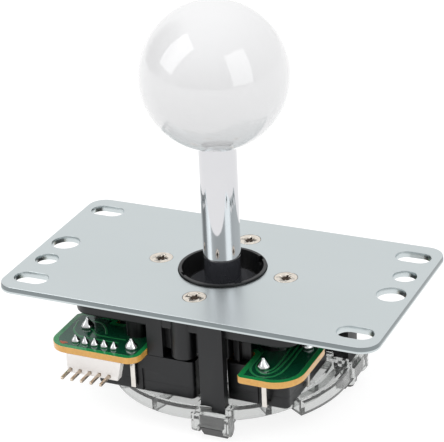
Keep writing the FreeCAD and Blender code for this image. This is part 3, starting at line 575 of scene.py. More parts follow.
def fill(shape: bmesh.types.BMesh, rings: Sequence[Sequence[bmesh.types.BMVert]]) -> None:
    """Close the level area between rings with faces.

    Args:
        shape: geometry that takes the faces.
        rings: the outer ring and the rings of rounded holes, in any order.
    """
    verts = [v for ring in rings for v in ring]
    owner = [n for n, ring in enumerate(rings) for _ in ring]
    spans = [max((v.co - ring[0].co).length for v in ring) for ring in rings]
    outer = spans.index(max(spans))
    edges = []
    for ring in rings:
        first = len(edges)
        edges += [(first + k, first + (k + 1) % len(ring)) for k in range(len(ring))]
    flat = [v.co.xy / MM for v in verts]
    places, _, faces, origins = delaunay_2d_cdt(flat, edges, [], KEEP_INSIDE, 1e-6)[:4]
    level = verts[0].co.z
    made = [verts[o[0]] if o else shape.verts.new((p.x * MM, p.y * MM, level)) for p, o in zip(places, origins)]
    for face in faces:
        owners = {owner[origins[k][0]] if origins[k] else outer for k in face}
        if len(owners) > 1 or outer in owners:
            shape.faces.new([made[k] for k in face])


def sheet_mesh(name: str, edges: Sequence[tuple[Sequence[Vector], Sequence[tuple[float, float]]]],
               sharp_deg: float = 30.0) -> bpy.types.Mesh:
    """Sheet between outlines, with a profile along each edge.

    Args:
        name: name of the mesh.
        edges: closed outlines, material on their left, each with its run of (inset, height) in millimetres from
            the top face down to the bottom face.
        sharp_deg: edges that turn more than this stay sharp.

    Returns:
        The mesh.
    """
    shape = bmesh.new()
    tops, bottoms = [], []
    for loop, profile in edges:
        rings = []
        for across, height in profile:
            rings.append([shape.verts.new((p.x * MM, p.y * MM, height * MM)) for p in inset(loop, across)])
        skin(shape, rings)
        tops.append(rings[0])
        bottoms.append(rings[-1])
    fill(shape, tops)
    fill(shape, bottoms)
    return new_mesh(name, shape, sharp_deg)


def smooth_run(points: Sequence[tuple[float, float]], steps: int = 6) -> list[Vector]:
    """Round a run of points off.

    Args:
        points: (x, y) in millimetres.
        steps: stretches between two points.

    Returns:
        Points of a curve through them.
    """
    run = [Vector(p) for p in points]
    ends = [2 * run[0] - run[1]] + run + [2 * run[-1] - run[-2]]
    curve = []
    for a, b, c, d in zip(ends, ends[1:], ends[2:], ends[3:]):
        for k in range(steps):
            t = k / steps
            curve.append(0.5 * (2 * b + (c - a) * t + (2 * a - 5 * b + 4 * c - d) * t * t
                                + (3 * b - a - 3 * c + d) * t ** 3))
    return curve + [run[-1]]


def line_loop(points: Sequence[Vector], width: float) -> list[Vector]:
    """Outline of a line with a width, anticlockwise.

    Args:
        points: middle of the line.
        width: its width, in millimetres.

    Returns:
        The outline.
    """
    right, left = [], []
    for k, point in enumerate(points):
        way = (points[min(k + 1, len(points) - 1)] - points[max(k - 1, 0)]).normalized()
        side = Vector((way.y, -way.x)) * width / 2
        right.append(point + side)
        left.append(point - side)
    return right + left[::-1]


def wire_mesh(name: str, path: Sequence[Vector], radius: float, around: int = 14) -> bpy.types.Mesh:
    """Round wire along a path, with flat ends.

    Args:
        name: name of the mesh.
        path: middle of the wire, in millimetres.
        radius: radius of the wire.
        around: facets round it.

    Returns:
        The mesh.
    """
    shape = bmesh.new()
    rings = []
    for k, point in enumerate(path):
        way = (path[min(k + 1, len(path) - 1)] - path[max(k - 1, 0)]).normalized()
        out = Vector((point.x, point.y, 0.0)).normalized()
        out = (out - way * out.dot(way)).normalized()
        over = way.cross(out)
        rings.append([shape.verts.new((point + (out * x + over * y) * radius) * MM) for x, y in round_points(around)])
    skin(shape, rings)
    shape.faces.new(rings[0][::-1])
    shape.faces.new(rings[-1])
    return new_mesh(name, shape)


def joined_mesh(name: str, meshes: Sequence[bpy.types.Mesh]) -> bpy.types.Mesh:
    """Put several meshes into one.

    Args:
        name: name of the new mesh.
        meshes: meshes that are used up.

    Returns:
        The new mesh.
    """
    shape = bmesh.new()
    for mesh in meshes:
        shape.from_mesh(mesh)
        bpy.data.meshes.remove(mesh)
    return new_mesh(name, shape, 40.0)


def applied(helper: bpy.types.Object) -> bpy.types.Mesh:
    """Apply an object's modifiers and delete the object.

    Args:
        helper: object that is used up.

    Returns:
        The new mesh.
    """
    view = bpy.context.evaluated_depsgraph_get()
    result = bpy.data.meshes.new_from_object(helper.evaluated_get(view), preserve_all_data_layers=True, depsgraph=view)
    bpy.data.objects.remove(helper)
    return result


def refined_mesh(node: str, edge_mm: float, flat_deg: float = 1.0, sharp_deg: float = 30.0) -> bpy.types.Mesh:
    """Copy a node's mesh with merged flat faces and softened edges.

    Args:
        node: name of the node.
        edge_mm: width of the softened edge.
        flat_deg: faces that turn less than this are merged.
        sharp_deg: edges that turn more than this are softened.

    Returns:
        The new mesh.
    """
    shape = bmesh.new()
    shape.from_mesh(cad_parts[node].data)
    bmesh.ops.remove_doubles(shape, verts=shape.verts, dist=WELD_MM * MM)
    bmesh.ops.dissolve_limit(shape, angle_limit=math.radians(flat_deg), verts=shape.verts, edges=shape.edges)
    mesh = new_mesh(node + "_fine", shape, sharp_deg)
    helper = in_scene(node + "_edges", mesh)
    bevel = helper.modifiers.new("edges", "BEVEL")
    bevel.width = edge_mm * MM
    bevel.segments = 2
    bevel.limit_method = "ANGLE"
    bevel.angle_limit = math.radians(sharp_deg)
    bevel.harden_normals = True
    bevel.use_clamp_overlap = True
    result = applied(helper)
    result.name = node + "_soft"
    return result


def carved(mesh: bpy.types.Mesh, across: tuple[float, float], along: tuple[float, float],
           up: tuple[float, float]) -> bpy.types.Mesh:
    """Cut a block out of a mesh.

    Args:
        mesh: mesh that is used up.
        across: block's range along X, in millimetres.
        along: its range along Y.
        up: its range along Z.

    Returns:
        The cut mesh.
    """
    block = bmesh.new()
    bmesh.ops.create_cube(block, size=1.0)
    for vert in block.verts:
        vert.co = Vector([(low + high) / 2 * MM + c * (high - low) * MM
                          for c, (low, high) in zip(vert.co, (across, along, up))])
    cutter, helper = in_scene("cutter", new_mesh("cutter", block)), in_scene("cut", mesh)
    cut = helper.modifiers.new("cut", "BOOLEAN")
    cut.operation = "DIFFERENCE"
    cut.solver = "EXACT"
    cut.object = cutter
    result = applied(helper)
    bpy.data.objects.remove(cutter)
    return result


def top_of(node: str) -> float:
    """Highest point of a node, in millimetres."""
    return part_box(node)[1].z / MM


def bottom_of(node: str) -> float:
    """Lowest point of a node, in millimetres."""
    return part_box(node)[0].z / MM


def width_of(node: str) -> float:
    """Width of a node along X, in millimetres."""
    low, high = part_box(node)
    return (high.x - low.x) / MM


@dataclass
class Assembly:
    """A sub-assembly, whose pieces ride on its body where no other is named."""

    body: str = "housing"
    pieces: list[bpy.types.Object] = field(default_factory=list)

    def add(self, name: str, mesh: bpy.types.Mesh, finish: Finish, slot: Slot, *nodes: str) -> bpy.types.Object:
        """Put a piece in the scene, still on no body.

        Args:
            name: name of the piece.
            mesh: its mesh, in the row frame.
            finish: its surface.
            slot: material slot of the record; not used.
            nodes: nodes that it replaces.

        Returns:
            The piece.
        """
        piece = in_scene(name, mesh)
        mesh.materials.clear()
        mesh.materials.append(finish.material())
        if nodes:
            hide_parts(*nodes)
        self.pieces.append(piece)
        return piece

    def soften(self, node: str, finish: Finish, slot: Slot, edge_mm: float, body: str = "") -> None:
        """Replace a node by its own shape with softened edges.

        Args:
            node: name of the node.
            finish: its surface.
            slot: material slot of the record.
            edge_mm: width of the softened edge.
            body: body that it rides on, where it isn't the sub-assembly's own.
        """
        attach(self.add(node + "_soft", refined_mesh(node, edge_mm), finish, slot, node), body or self.body)


@dataclass
class MountingPlate(Assembly):
    """The steel plate, blanked from sheet, and its four screws."""

    thickness: float = 1.6
    rollover: tuple[tuple[float, float], ...] = ((0.2, 0.0), (0.12, -0.06), (0.07, -0.25), (0.01, -0.7), (0.0, -0.9))
    burr: float = 0.08
    drilled_edge: float = 0.02
    screw_edge: float = 0.1
    screw_reach: float = 21.0
    cross_length: float = 3.3
    cross_width: float = 0.72
    cross_depth: float = 0.5

    def sheet(self) -> None:
        """Build the sheet, its top edges rolled over by the punch and the lower part cut straight."""
        bottom = -self.thickness
        rolled = [*self.rollover, (0.0, bottom + self.burr), (self.burr, bottom)]
        drilled = [(self.drilled_edge, 0.0), (0.0, -self.drilled_edge), (0.0, bottom)]
        half = width_of("mounting_plate") / 2
        edges = []
        for loop in face_loops("mounting_plate", 0.0):
            far = max(p.length for p in loop)
            reach = max(p.x for p in loop)
            if far < self.screw_reach:
                edges.append((loop, drilled))
            elif min(p.x for p in loop) < 0 < reach:
                edges.append((loop, [(across - (half - reach), height) for across, height in rolled]))
            else:
                edges.append((loop, rolled))
        mesh = sheet_mesh("plate_sheet", edges)
        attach(self.add("plate_sheet", mesh, ZINC_SHEET, Slot.PLATE, "mounting_plate"), self.body)

    def screw(self, side: str) -> None:
        """Dress one screw, and widen the mouth of its driver recess.

        Args:
            side: side that it stands on.
        """
        node = "plate_screw_" + side
        low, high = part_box(node)
        x, y, top = (low.x + high.x) / 2 / MM, (low.y + high.y) / 2 / MM, high.z / MM
        mesh = refined_mesh(node, self.screw_edge)
        for long_x, long_y in ((self.cross_length, self.cross_width), (self.cross_width, self.cross_length)):
            mesh = carved(mesh, (x - long_x / 2, x + long_x / 2), (y - long_y / 2, y + long_y / 2),
                          (top - self.cross_depth, top + 1.0))
        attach(self.add(node + "_soft", mesh, NICKEL_SCREW, Slot.SCREW, node), self.body)

    def build(self) -> list[bpy.types.Object]:
        """Build the plate and dress the screws.

        Returns:
            The pieces.
        """
        self.sheet()
        for side in SIDES:
            self.screw(side)
        return self.pieces


@dataclass
class Housing(Assembly):
    """The moulded housing and the switches that it carries."""

    edge_mm: float = 0.18
    seam_mm: float = 0.26
    strip_mm: float = 0.08
    plunger_mm: float = 0.1

    def switch(self, side: str) -> None:
        """Dress one switch.

        Args:
            side: side that it stands on.
        """
        self.soften("switch_cover_" + side, SWITCH_PBT, Slot.SWITCH, self.seam_mm)
        self.soften("switch_base_" + side, SWITCH_PBT, Slot.SWITCH, self.seam_mm)
        self.soften("switch_contacts_" + side, CONTACT_STRIP, Slot.CONTACT, self.strip_mm / 2)
        self.soften("switch_terminals_" + side, TIN_STRIP, Slot.PIN, self.strip_mm)
        self.soften("switch_plunger_" + side, PLUNGER_RED, Slot.PLUNGER, self.plunger_mm, "plunger_" + side)

    def build(self) -> list[bpy.types.Object]:
        """Dress the housing and the switches.

        Returns:
            The pieces.
        """
        self.soften("main_body", HOUSING_ABS, Slot.HOUSING, self.edge_mm)
        for side in SIDES:
            self.switch(side)
        return self.pieces


@dataclass
class Lever(Assembly):
    """The ball, its insert, the shaft and the ring."""

    flat_radius: float = 5.5
    flat_edge: float = 0.3
    bore_depth: float = 13.0
    bore_ease: float = 0.2
    pole_deg: float = 1.0
    handle_radius: float = 4.5
    handle_edge: float = 0.4
    stem_radius: float = 3.0
    stem_edge: float = 0.4
    shoulder: float = 3.6
    groove_radius: float = 2.4
    groove_low: float = -27.2
    groove_high: float = -26.45
    slot_width: float = 1.0
    slot_depth: float = 1.0
    insert_mm: float = 0.05
    ring_mm: float = 0.06
    body: str = "lever"

    def ball(self) -> None:
        """Build the ball with its flat and bore."""
        radius = width_of("ball_top") / 2
        centre = top_of("ball_top") - radius
        flat_angle = math.degrees(math.asin(self.flat_radius / radius))
        bore = width_of("ball_insert") / 2
        flat = bottom_of("ball_top")
        end = flat + self.bore_depth
        profile = [(0.0, end), (bore, end), (bore, flat + self.bore_ease), (bore + self.bore_ease, flat),
                   (self.flat_radius - self.flat_edge, flat)]
        profile += arc((0.0, centre), radius, flat_angle - 90 + self.pole_deg, 90 - self.pole_deg, 96)
        mesh = turned_mesh("ball", profile + [(0.0, centre + radius)], segments=192, sharp_deg=50.0)
        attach(self.add("ball", mesh, BALL_RESIN, Slot.BALL, "ball_top"), self.body)

    def shaft(self) -> None:
        """Build the bright handle with its stem, ring groove, stud and driver slot."""
        foot, head, flat = bottom_of("shaft"), top_of("shaft"), bottom_of("ball_top")
        stem, handle, ease = self.stem_radius, self.handle_radius, self.handle_edge
        mesh = turned_mesh("bright_shaft", [
            (0.0, foot), (stem - self.stem_edge, foot), (stem, foot + self.stem_edge), (stem, self.groove_low),
            (self.groove_radius, self.groove_low), (self.groove_radius, self.groove_high), (stem, self.groove_high),
            (stem, self.shoulder), (handle - ease / 2, self.shoulder), (handle, self.shoulder + ease / 2),
            (handle, flat - ease), (handle - ease, flat), (stem, flat), (stem, head - ease), (stem - ease, head),
            (0.0, head),
        ], segments=160, sharp_deg=30.0)
        half = self.slot_width / 2
        mesh = carved(mesh, (-stem - 1, stem + 1), (-half, half), (foot - 1, foot + self.slot_depth))
        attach(self.add("bright_shaft", mesh, CHROME_BAR, Slot.SHAFT, "shaft"), self.body)

    def build(self) -> list[bpy.types.Object]:
        """Build the lever's pieces.

        Returns:
            The pieces.
        """
        self.ball()
        self.shaft()
        self.soften("ball_insert", BRASS_TURNED, Slot.INSERT, self.insert_mm)
        self.soften("e_ring", MUSIC_WIRE, Slot.SPRING, self.ring_mm)
        return self.pieces


@dataclass
class Pivot(Assembly):
    """The rocking half ball, the actuator, the spring seat and the spring."""

    ball_radius: float = 8.4
    centre: float = -3.9
    ball_height: float = 5.0
    neck_radius: float = 4.4
    neck_round: float = 0.5
    neck_ease: float = 0.1
    bore_radius: float = 3.05
    wire_radius: float = 0.4
    spring_top_radius: float = 5.75
    spring_foot_radius: float = 4.1
    spring_turns: float = 4.5
    spring_split: float = 0.8
    spring_bend: float = 2.4
    steps_per_turn: int = 40
    actuator_mm: float = 0.1
    seat_mm: float = 0.08
    body: str = "pivot"

    def half_ball(self) -> None:
        """Build the half ball with its neck and bore."""
        floor = self.centre - self.ball_height
        lowest = -math.degrees(math.asin(self.ball_height / self.ball_radius))
        neck, turn, top = self.neck_radius, self.neck_round, top_of("pivot")
        profile = [(self.bore_radius, floor)] + arc((0.0, self.centre), self.ball_radius, lowest, 0.0, 24)
        profile += arc((neck + turn, self.centre + turn), turn, 270.0, 180.0, 6)
        profile += [(neck, top - self.neck_ease), (neck - self.neck_ease, top), (self.bore_radius, top),
                    (self.bore_radius, floor)]
        mesh = turned_mesh("half_ball", profile, segments=160, sharp_deg=40.0)
        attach(self.add("half_ball", mesh, SHEEN_PAINTED_ACETAL, Slot.PIVOT, "pivot"), self.body)

    def spring(self) -> None:
        """Wind the tapered spring in two halves."""
        low, high = bottom_of("spring") + self.wire_radius, top_of("spring") - self.wire_radius
        split = low + (high - low) * self.spring_split
        for part, bodies, span, start, end in (
            ("lower", ("return_spring", "pivot"), (0.0, self.spring_split), split, split - self.spring_bend),
            ("upper", ("housing", "return_spring"), (self.spring_split, 1.0), high, split),
        ):
            path = []
            count = math.ceil(self.spring_turns * self.steps_per_turn * (span[1] - span[0]))
            for k in range(count + 1):
                share = span[0] + (span[1] - span[0]) * k / count
                angle = 2 * math.pi * self.spring_turns * share
                reach = self.spring_foot_radius + (self.spring_top_radius - self.spring_foot_radius) * share
                path.append(Vector((reach * math.cos(angle), reach * math.sin(angle), low + (high - low) * share)))
            mesh = wire_mesh("return_coil_" + part, path, self.wire_radius)
            half = self.add("return_coil_" + part, mesh, MUSIC_WIRE, Slot.SPRING, "spring")
            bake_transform(half)

    def build(self) -> list[bpy.types.Object]:
        """Build the pivot and spring, and dress the actuator and seat.

        Returns:
            The pieces.
        """
        self.half_ball()
        self.soften("actuator", PIVOT_ACETAL, Slot.PIVOT, self.actuator_mm)
        self.soften("spring_seat", PIVOT_ACETAL, Slot.PIVOT, self.seat_mm, "housing")
        self.spring()
        return self.pieces


@dataclass
class Board(Assembly):
    """The circuit board with its copper, solder and header."""

    top: float = -10.6
    thickness: float = 1.6
    edge: float = 0.06
    rim: float = 1.3
    hole_rim: float = 0.45
    centre_rim: float = 1.2
    copper_height: float = 0.035
    copper_edge: float = 0.02
    line_height: float = 0.06
    line_width: float = 0.55
    line_slope: float = 0.05
    joint_radius: float = 1.5
    joint_height: float = 2.7
    pin_joint_radius: float = 1.0
    pin_joint_height: float = 1.85
    common: tuple[float, float] = (-24.2, -20.3)
    front_common: tuple[float, float] = (-26.4, -20.3)
    opening: tuple[float, float] = (-12.0, -26.1)
    pin_first: tuple[float, float] = (-25.8, -27.6)
    pin_pitch: float = 2.5
    pin_count: int = 5
    joint_lobes: tuple[float, float] = (0.06, 0.035)
    joint_outline: tuple[tuple[float, float], ...] = (
        (0.8, 0.0), (0.93, 0.05), (1.0, 0.14), (0.97, 0.24), (0.8, 0.4), (0.58, 0.56), (0.4, 0.7), (0.27, 0.82),
        (0.22, 0.9), (0.2, 0.97), (0.1, 1.0), (0.0, 1.0))
    right_lines: tuple[tuple[tuple[float, float], ...], ...] = (
        ((17.3, -17.5), (17.4, -21.4), (17.5, -24.7), (18.4, -26.9), (20.5, -28.3), (22.6, -28.1), (24.4, -26.4),
         (25.2, -22.7), (25.1, -13.6), (25.2, -4.0)),
        ((18.3, -20.5), (18.5, -23.9), (19.8, -26.1), (21.9, -26.8), (23.6, -24.0), (24.0, -17.0), (23.9, -10.0)),
        ((21.1, -25.7), (22.5, -24.3), (22.9, -20.7), (22.7, -14.0), (22.6, -8.0)))
    front_lines: tuple[tuple[tuple[float, float], ...], ...] = (
        ((-30.0, -18.2), (-29.6, -20.2), (-28.9, -22.6), (-26.8, -24.7), (-24.0, -25.0), (-16.0, -24.9)),
        ((-28.9, -17.4), (-26.2, -17.2), (-24.0, -17.6), (-22.0, -19.6), (-20.6, -22.0)),
        ((-26.4, -20.3), (-24.2, -21.4), (-22.6, -23.0), (-15.0, -23.1)))
    ink_spot: tuple[float, float] = (-28.4, -28.9)
    ink_reach: tuple[float, float] = (1.25, 0.7)
    ink_edge: tuple[float, float] = (0.15, 0.03)
    ink_lobes: tuple[float, float, float] = (0.75, 0.16, 0.1)
    outer_size: float = 30.0
    opening_size: float = 15.0
    opening_round: float = 1.0
    header_mm: float = 0.12
    pin_mm: float = 0.06
    arm_x: float = -31.5
    arm_y: float = -16.1
    arm_end: tuple[tuple[float, float], ...] = ((-21.0, -16.0), (-21.0, -14.0), (-30.9, -14.0), (-32.0, -15.2))

    def outlines(self) -> list[list[Vector]]:
        """Give the outlines of the board's top face, with the header's arm ended behind its joint.

        Returns:
            Closed runs of points in millimetres.
        """
        loops = []
        for loop in face_loops("circuit_board", self.top):
            run: list[Vector] = []
            for point in loop:
                if point.x > self.arm_x or point.y < self.arm_y:
                    run.append(point)
                elif run and (run[-1] - Vector(self.arm_end[-1])).length > 0.001:
                    run += [Vector(p) for p in self.arm_end]
            loops.append(run)
        return loops

    def laminate(self) -> None:
        """Build the bare board."""
        floor = self.top - self.thickness
        profile = [(self.edge, self.top), (0.0, self.top - self.edge), (0.0, floor + self.edge), (self.edge, floor)]
        mesh = sheet_mesh("laminate", [(loop, profile) for loop in self.outlines()])
        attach(self.add("laminate", mesh, GREEN_BOARD, Slot.BOARD, "circuit_board"), self.body)

    def pour(self) -> None:
        """Build the copper area on top, which leaves a rim of bare laminate."""
        loops = []
        for loop in self.outlines():
            reach = max(p.length for p in loop) - min(p.length for p in loop)
            size = max((p - loop[0]).length for p in loop)
            if size > self.outer_size:
                loops.append(inset(loop, self.rim))
            elif size > self.opening_size and reach < self.opening_round:
                loops.append(inset(loop, self.centre_rim))
            else:
                loops.append(inset(loop, self.hole_rim))
        rise = self.top + self.copper_height
        profile = [(self.copper_edge, rise), (0.0, rise - self.copper_edge), (0.0, self.top)]
        mesh = sheet_mesh("copper_pour", [(loop, profile) for loop in loops])
        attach(self.add("copper_pour", mesh, GREEN_POUR, Slot.BOARD), self.body)

    def lines(self) -> None:
        """Build the copper lines round the terminals."""
        rise = self.top + self.line_height
        meshes = []
        profile = [(self.line_slope, rise), (0.0, rise - self.copper_edge), (0.0, self.top)]
        for k, side in enumerate(SIDES):
            runs = self.front_lines if side == "front" else self.right_lines
            turn = Matrix.Rotation(math.radians(0 if side == "front" else 90 * (k - 1)), 2)
            for n, run in enumerate(runs):
                loop = line_loop([turn @ p for p in smooth_run(run)], self.line_width)
                meshes.append(sheet_mesh("line_%s_%d" % (side, n), [(loop, profile)]))
        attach(self.add("copper_lines", joined_mesh("copper_lines", meshes), GREEN_TRACE, Slot.BOARD), self.body)

    def ink(self) -> None:
        """Build the dab of ink at the front left corner."""
        mean, three, five = self.ink_lobes
        loop = []
        for x, y in round_points(24):
            angle = math.atan2(y, x)
            reach = mean + three * math.sin(3 * angle) + five * math.sin(5 * angle + 1.0)
            loop.append(Vector((self.ink_spot[0] + self.ink_reach[0] * reach * x,
                                self.ink_spot[1] + self.ink_reach[1] * reach * y)))
        slope, height = self.ink_edge
        rise = self.top + self.line_height + height
        mesh = sheet_mesh("ink_dab", [(loop, [(slope, rise), (0.0, rise - height), (0.0, self.top)])])
        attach(self.add("ink_dab", mesh, RED_INK, Slot.BOARD), self.body)

    def joint(self, spot: Vector, radius: float, height: float) -> bpy.types.Mesh:
        """Build one solder joint, drawn up round its pin and slightly uneven.

        Args:
            spot: where it stands, in millimetres.
            radius: its radius at the widest.
            height: its height.

        Returns:
            Its mesh.
        """
        shape = bmesh.new()
        two, five = self.joint_lobes
        rings = []
        for across, up in self.joint_outline:
            ring = []
            for x, y in round_points(40):
                angle = math.atan2(y, x)
                lobes = two * math.cos(2 * angle + spot.x) + five * math.cos(5 * angle + spot.y)
                reach = radius * across * (1.0 + lobes * min(1.0, 4 * (1 - up)))
                ring.append(shape.verts.new(((spot.x + reach * x) * MM, (spot.y + reach * y) * MM,
                                             (self.top + up * height) * MM)))
            rings.append(ring)
        skin(shape, rings)
        shape.faces.new(rings[0][::-1])
        bmesh.ops.remove_doubles(shape, verts=shape.verts, dist=WELD_MM / 2 * MM)
        return new_mesh("joint", shape, 60.0)

    def joints(self) -> None:
        """Build the solder joints of the switches and of the header."""
        meshes = []
        for k, side in enumerate(SIDES):
            turn = Matrix.Rotation(math.radians(90 * k), 2)
            for place in (self.front_common if side == "front" else self.common, self.opening):
                meshes.append(self.joint(turn @ Vector(place), self.joint_radius, self.joint_height))
        for k in range(self.pin_count):
            spot = Vector((self.pin_first[0] + self.pin_pitch * k, self.pin_first[1]))
            meshes.append(self.joint(spot, self.pin_joint_radius, self.pin_joint_height))
        mesh = joined_mesh("drawn_solder", meshes)
        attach(self.add("drawn_solder", mesh, SOLDER_TIN, Slot.SOLDER, "solder_joints"), self.body)

    def build(self) -> list[bpy.types.Object]:
        """Build the board and its solder, and dress the header.

        Returns:
            The pieces.
        """
        for step in (self.laminate, self.pour, self.lines, self.ink, self.joints):
            step()
        self.soften("header_housing", HEADER_NYLON, Slot.HEADER, self.header_mm)
        self.soften("header_pins", TIN_PIN, Slot.PIN, self.pin_mm)
        return self.pieces


@dataclass
class Gate(Assembly):
    """The clear gate and the square restrictor in it."""

    holder_mm: float = 0.15
    restrictor_mm: float = 0.12

    def build(self) -> list[bpy.types.Object]:
        """Dress the clear pieces.

        Returns:
            The pieces.
        """
        self.soften("gate_holder", CLEAR_PC, Slot.GATE, self.holder_mm)
        self.soften("restrictor_plate", CLEAR_PC, Slot.GATE, self.restrictor_mm)
        return self.pieces


@dataclass(frozen=True)
class View:
    """Directions of the view."""

    right: Vector
    up: Vector
    back: Vector

    def way(self, parts: tuple[float, float, float]) -> Vector:
        """Direction made of shares to the right, up and towards the camera."""
        return (self.right * parts[0] + self.up * parts[1] + self.back * parts[2]).normalized()


@dataclass(frozen=True)
class SoftBox:
    """A flat lamp that faces the lever."""

    name: str
    direction: tuple[float, float, float]
    long_way: tuple[float, float, float]
    size: tuple[float, float]
    radiance: float
    distance: float = 650.0

    def build(self, view: View, aim: Vector) -> bpy.types.Object:
        """Hang the lamp.

        Args:
            view: directions of the view.
            aim: point that the lamp faces.

        Returns:
            The lamp.
        """
        light = bpy.data.lights.new(self.name, "AREA")
        light.shape = "RECTANGLE"
        light.size, light.size_y = self.size[0] * MM, self.size[1] * MM
        light.energy = self.radiance * math.pi * light.size * light.size_y
        lamp = in_scene(self.name, light)
        away = view.way(self.direction)
        along = view.way(self.long_way)
        along = (along - away * along.dot(away)).normalized()
        turn = Matrix((along.cross(away), along, away)).transposed().to_4x4()
        lamp.matrix_world = Matrix.Translation(aim + away * self.distance * MM) @ turn
        return lamp


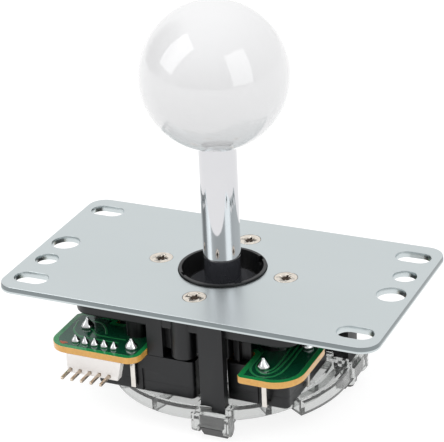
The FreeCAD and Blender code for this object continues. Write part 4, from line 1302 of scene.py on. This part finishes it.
@dataclass
class Studio:
    """Floor, world, lamps and camera."""

    camera_place: tuple[float, float, float] = (171.54, -368.14, 201.12)
    view_azimuth_deg: float = 24.939
    view_elevation_deg: float = 24.952
    view_roll_deg: float = -2.558
    lens_mm: float = 154.39
    sensor_mm: float = 36.0
    near_mm: float = 10.0
    floor_size: float = 6000.0
    floor_gap: float = 0.05
    floor_shade: float = 0.25
    floor_light: float = 1.14
    sky: float = 0.42
    overhead: float = 1.45
    dim_front: float = 0.5
    dim_side: float = 0.65
    dim_way: tuple[float, float, float] = (-0.9, -0.35, 0.4)
    aim: tuple[float, float, float] = (0.0, 0.0, 30.0)
    boxes: tuple[SoftBox, ...] = (
        SoftBox("softbox_left", (-0.797, 0.457, 0.400), (-0.495, -0.634, -0.304), (360.0, 560.0), 1.5),
        SoftBox("softbox_right", (0.6125, 0.136, 0.778), (0.26, -0.81, -0.085), (390.0, 555.0), 1.3),
    )

    def camera(self) -> View:
        """Place the camera at the photograph's viewing angle.

        Returns:
            The view's directions.
        """
        azimuth = math.radians(self.view_azimuth_deg)
        elevation = math.radians(self.view_elevation_deg)
        back = Vector((math.sin(azimuth) * math.cos(elevation), -math.cos(azimuth) * math.cos(elevation),
                       math.sin(elevation)))
        level = Vector((math.cos(azimuth), math.sin(azimuth), 0.0))
        upright = back.cross(level)
        roll = math.radians(self.view_roll_deg)
        right = level * math.cos(roll) + upright * math.sin(roll)
        up = back.cross(right)
        lens = bpy.data.cameras.new("camera")
        lens.lens = self.lens_mm
        lens.sensor_width = self.sensor_mm
        lens.clip_start = self.near_mm * MM
        holder = in_scene("camera", lens)
        turn = Matrix((right, up, back)).transposed().to_4x4()
        holder.matrix_world = Matrix.Translation(Vector(self.camera_place) * MM) @ turn
        bpy.context.scene.camera = holder
        return View(right, up, back)

    def floor(self) -> bpy.types.Object:
        """Lay a plain white floor that keeps a soft shadow.

        Returns:
            The floor.
        """
        half = self.floor_size * MM / 2
        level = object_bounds()[0][2] - self.floor_gap * MM
        shape = bmesh.new()
        corners = [shape.verts.new((x * half, y * half, level)) for x, y in ((-1, -1), (1, -1), (1, 1), (-1, 1))]
        shape.faces.new(corners)
        mesh = new_mesh("floor", shape)
        made = bpy.data.materials.new("floor_paper")
        tree = empty_tree(made)
        path = add_node(tree, "LightPath")
        seen = add_node(tree, "Math", {"operation": "MAXIMUM"},
                        {0: path.outputs["Is Camera Ray"], 1: path.outputs["Is Glossy Ray"]})
        seen = add_node(tree, "Math", {"operation": "MAXIMUM"}, {0: seen, 1: path.outputs["Is Transmission Ray"]})
        share = add_node(tree, "Math", {"operation": "MULTIPLY", 1: 1.0 - self.floor_shade}, {0: seen})
        paper = add_node(tree, "BsdfDiffuse", {"Color": (0.9, 0.9, 0.9, 1.0)})
        white = add_node(tree, "Emission", {"Color": (1.0, 1.0, 1.0, 1.0), "Strength": self.floor_light})
        mix = add_node(tree, "MixShader", {}, {0: share, 1: paper, 2: white})
        add_node(tree, "OutputMaterial", {}, {"Surface": mix})
        mesh.materials.append(made)
        floor = in_scene("floor", mesh)
        floor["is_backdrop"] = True
        return floor

    def world(self, view: View) -> None:
        """Light the scene evenly, and show metal a white room that is darker behind the camera and at the left.

        Args:
            view: directions of the view.
        """
        world = bpy.data.worlds.new("studio")
        bpy.context.scene.world = world
        tree = empty_tree(world)
        path = add_node(tree, "LightPath")
        place = add_node(tree, "TexCoord").outputs["Generated"]
        height = add_node(tree, "SeparateXYZ", {}, {"Vector": place}).outputs["Z"]
        level_back = Vector((view.back.x, view.back.y, 0.0)).normalized()
        level_right = Vector((view.right.x, view.right.y, 0.0)).normalized()
        across, behind, up = self.dim_way
        left = (level_right * across + level_back * behind + Vector((0.0, 0.0, up))).normalized()
        front, side = [add_node(tree, "VectorMath", {"operation": "DOT_PRODUCT", 1: way},
                                {0: place}).outputs["Value"] for way in (level_back, left)]
        ahead = add_node(tree, "MapRange", {"From Min": -0.1, "From Max": 0.8}, {"Value": front})
        low = add_node(tree, "MapRange", {"From Min": 0.85, "From Max": 0.0, "To Max": self.dim_front},
                       {"Value": height})
        shade = add_node(tree, "Math", {"operation": "MULTIPLY"}, {0: ahead, 1: low})
        soft_edge = {"interpolation_type": "SMOOTHSTEP", "From Min": 0.8, "From Max": 0.98, "To Max": self.dim_side}
        patch = add_node(tree, "MapRange", soft_edge, {"Value": side})
        most = add_node(tree, "Math", {"operation": "MAXIMUM"}, {0: shade, 1: patch})
        mirrored = add_node(tree, "Math", {"operation": "SUBTRACT", 0: 1.0}, {1: most})
        dome = add_node(tree, "MapRange", {"From Min": 0.3, "To Min": self.sky, "To Max": self.sky + self.overhead},
                        {"Value": height})
        soft = add_node(tree, "Mix", {"data_type": "FLOAT"}, {0: path.outputs["Is Glossy Ray"], 2: dome, 3: mirrored})
        seen = add_node(tree, "Math", {"operation": "MAXIMUM"},
                        {0: path.outputs["Is Camera Ray"], 1: path.outputs["Is Transmission Ray"]})
        level = add_node(tree, "Mix", {"data_type": "FLOAT", 3: 1.0}, {0: seen, 2: soft})
        light = add_node(tree, "Background", {"Color": (1.0, 1.0, 1.0, 1.0)}, {"Strength": level})
        add_node(tree, "OutputWorld", {}, {"Surface": light})

    def build(self) -> None:
        """Set up the whole studio."""
        bpy.context.scene.view_settings.view_transform = "Standard"
        view = self.camera()
        self.floor()
        self.world(view)
        for box in self.boxes:
            box.build(view, Vector(self.aim) * MM)


def main() -> None:
    """Build the sub-assemblies in order and report each piece."""
    logging.basicConfig(level=logging.INFO, format="%(message)s")
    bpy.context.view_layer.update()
    Studio().build()
    for part in (MountingPlate(), Housing(), Pivot(), Lever(), Board(), Gate()):
        for piece in part.build():
            log.info("%s: %s, %d faces", type(part).__name__, piece.name, len(piece.data.polygons))


if __name__ == "__main__":
    main()
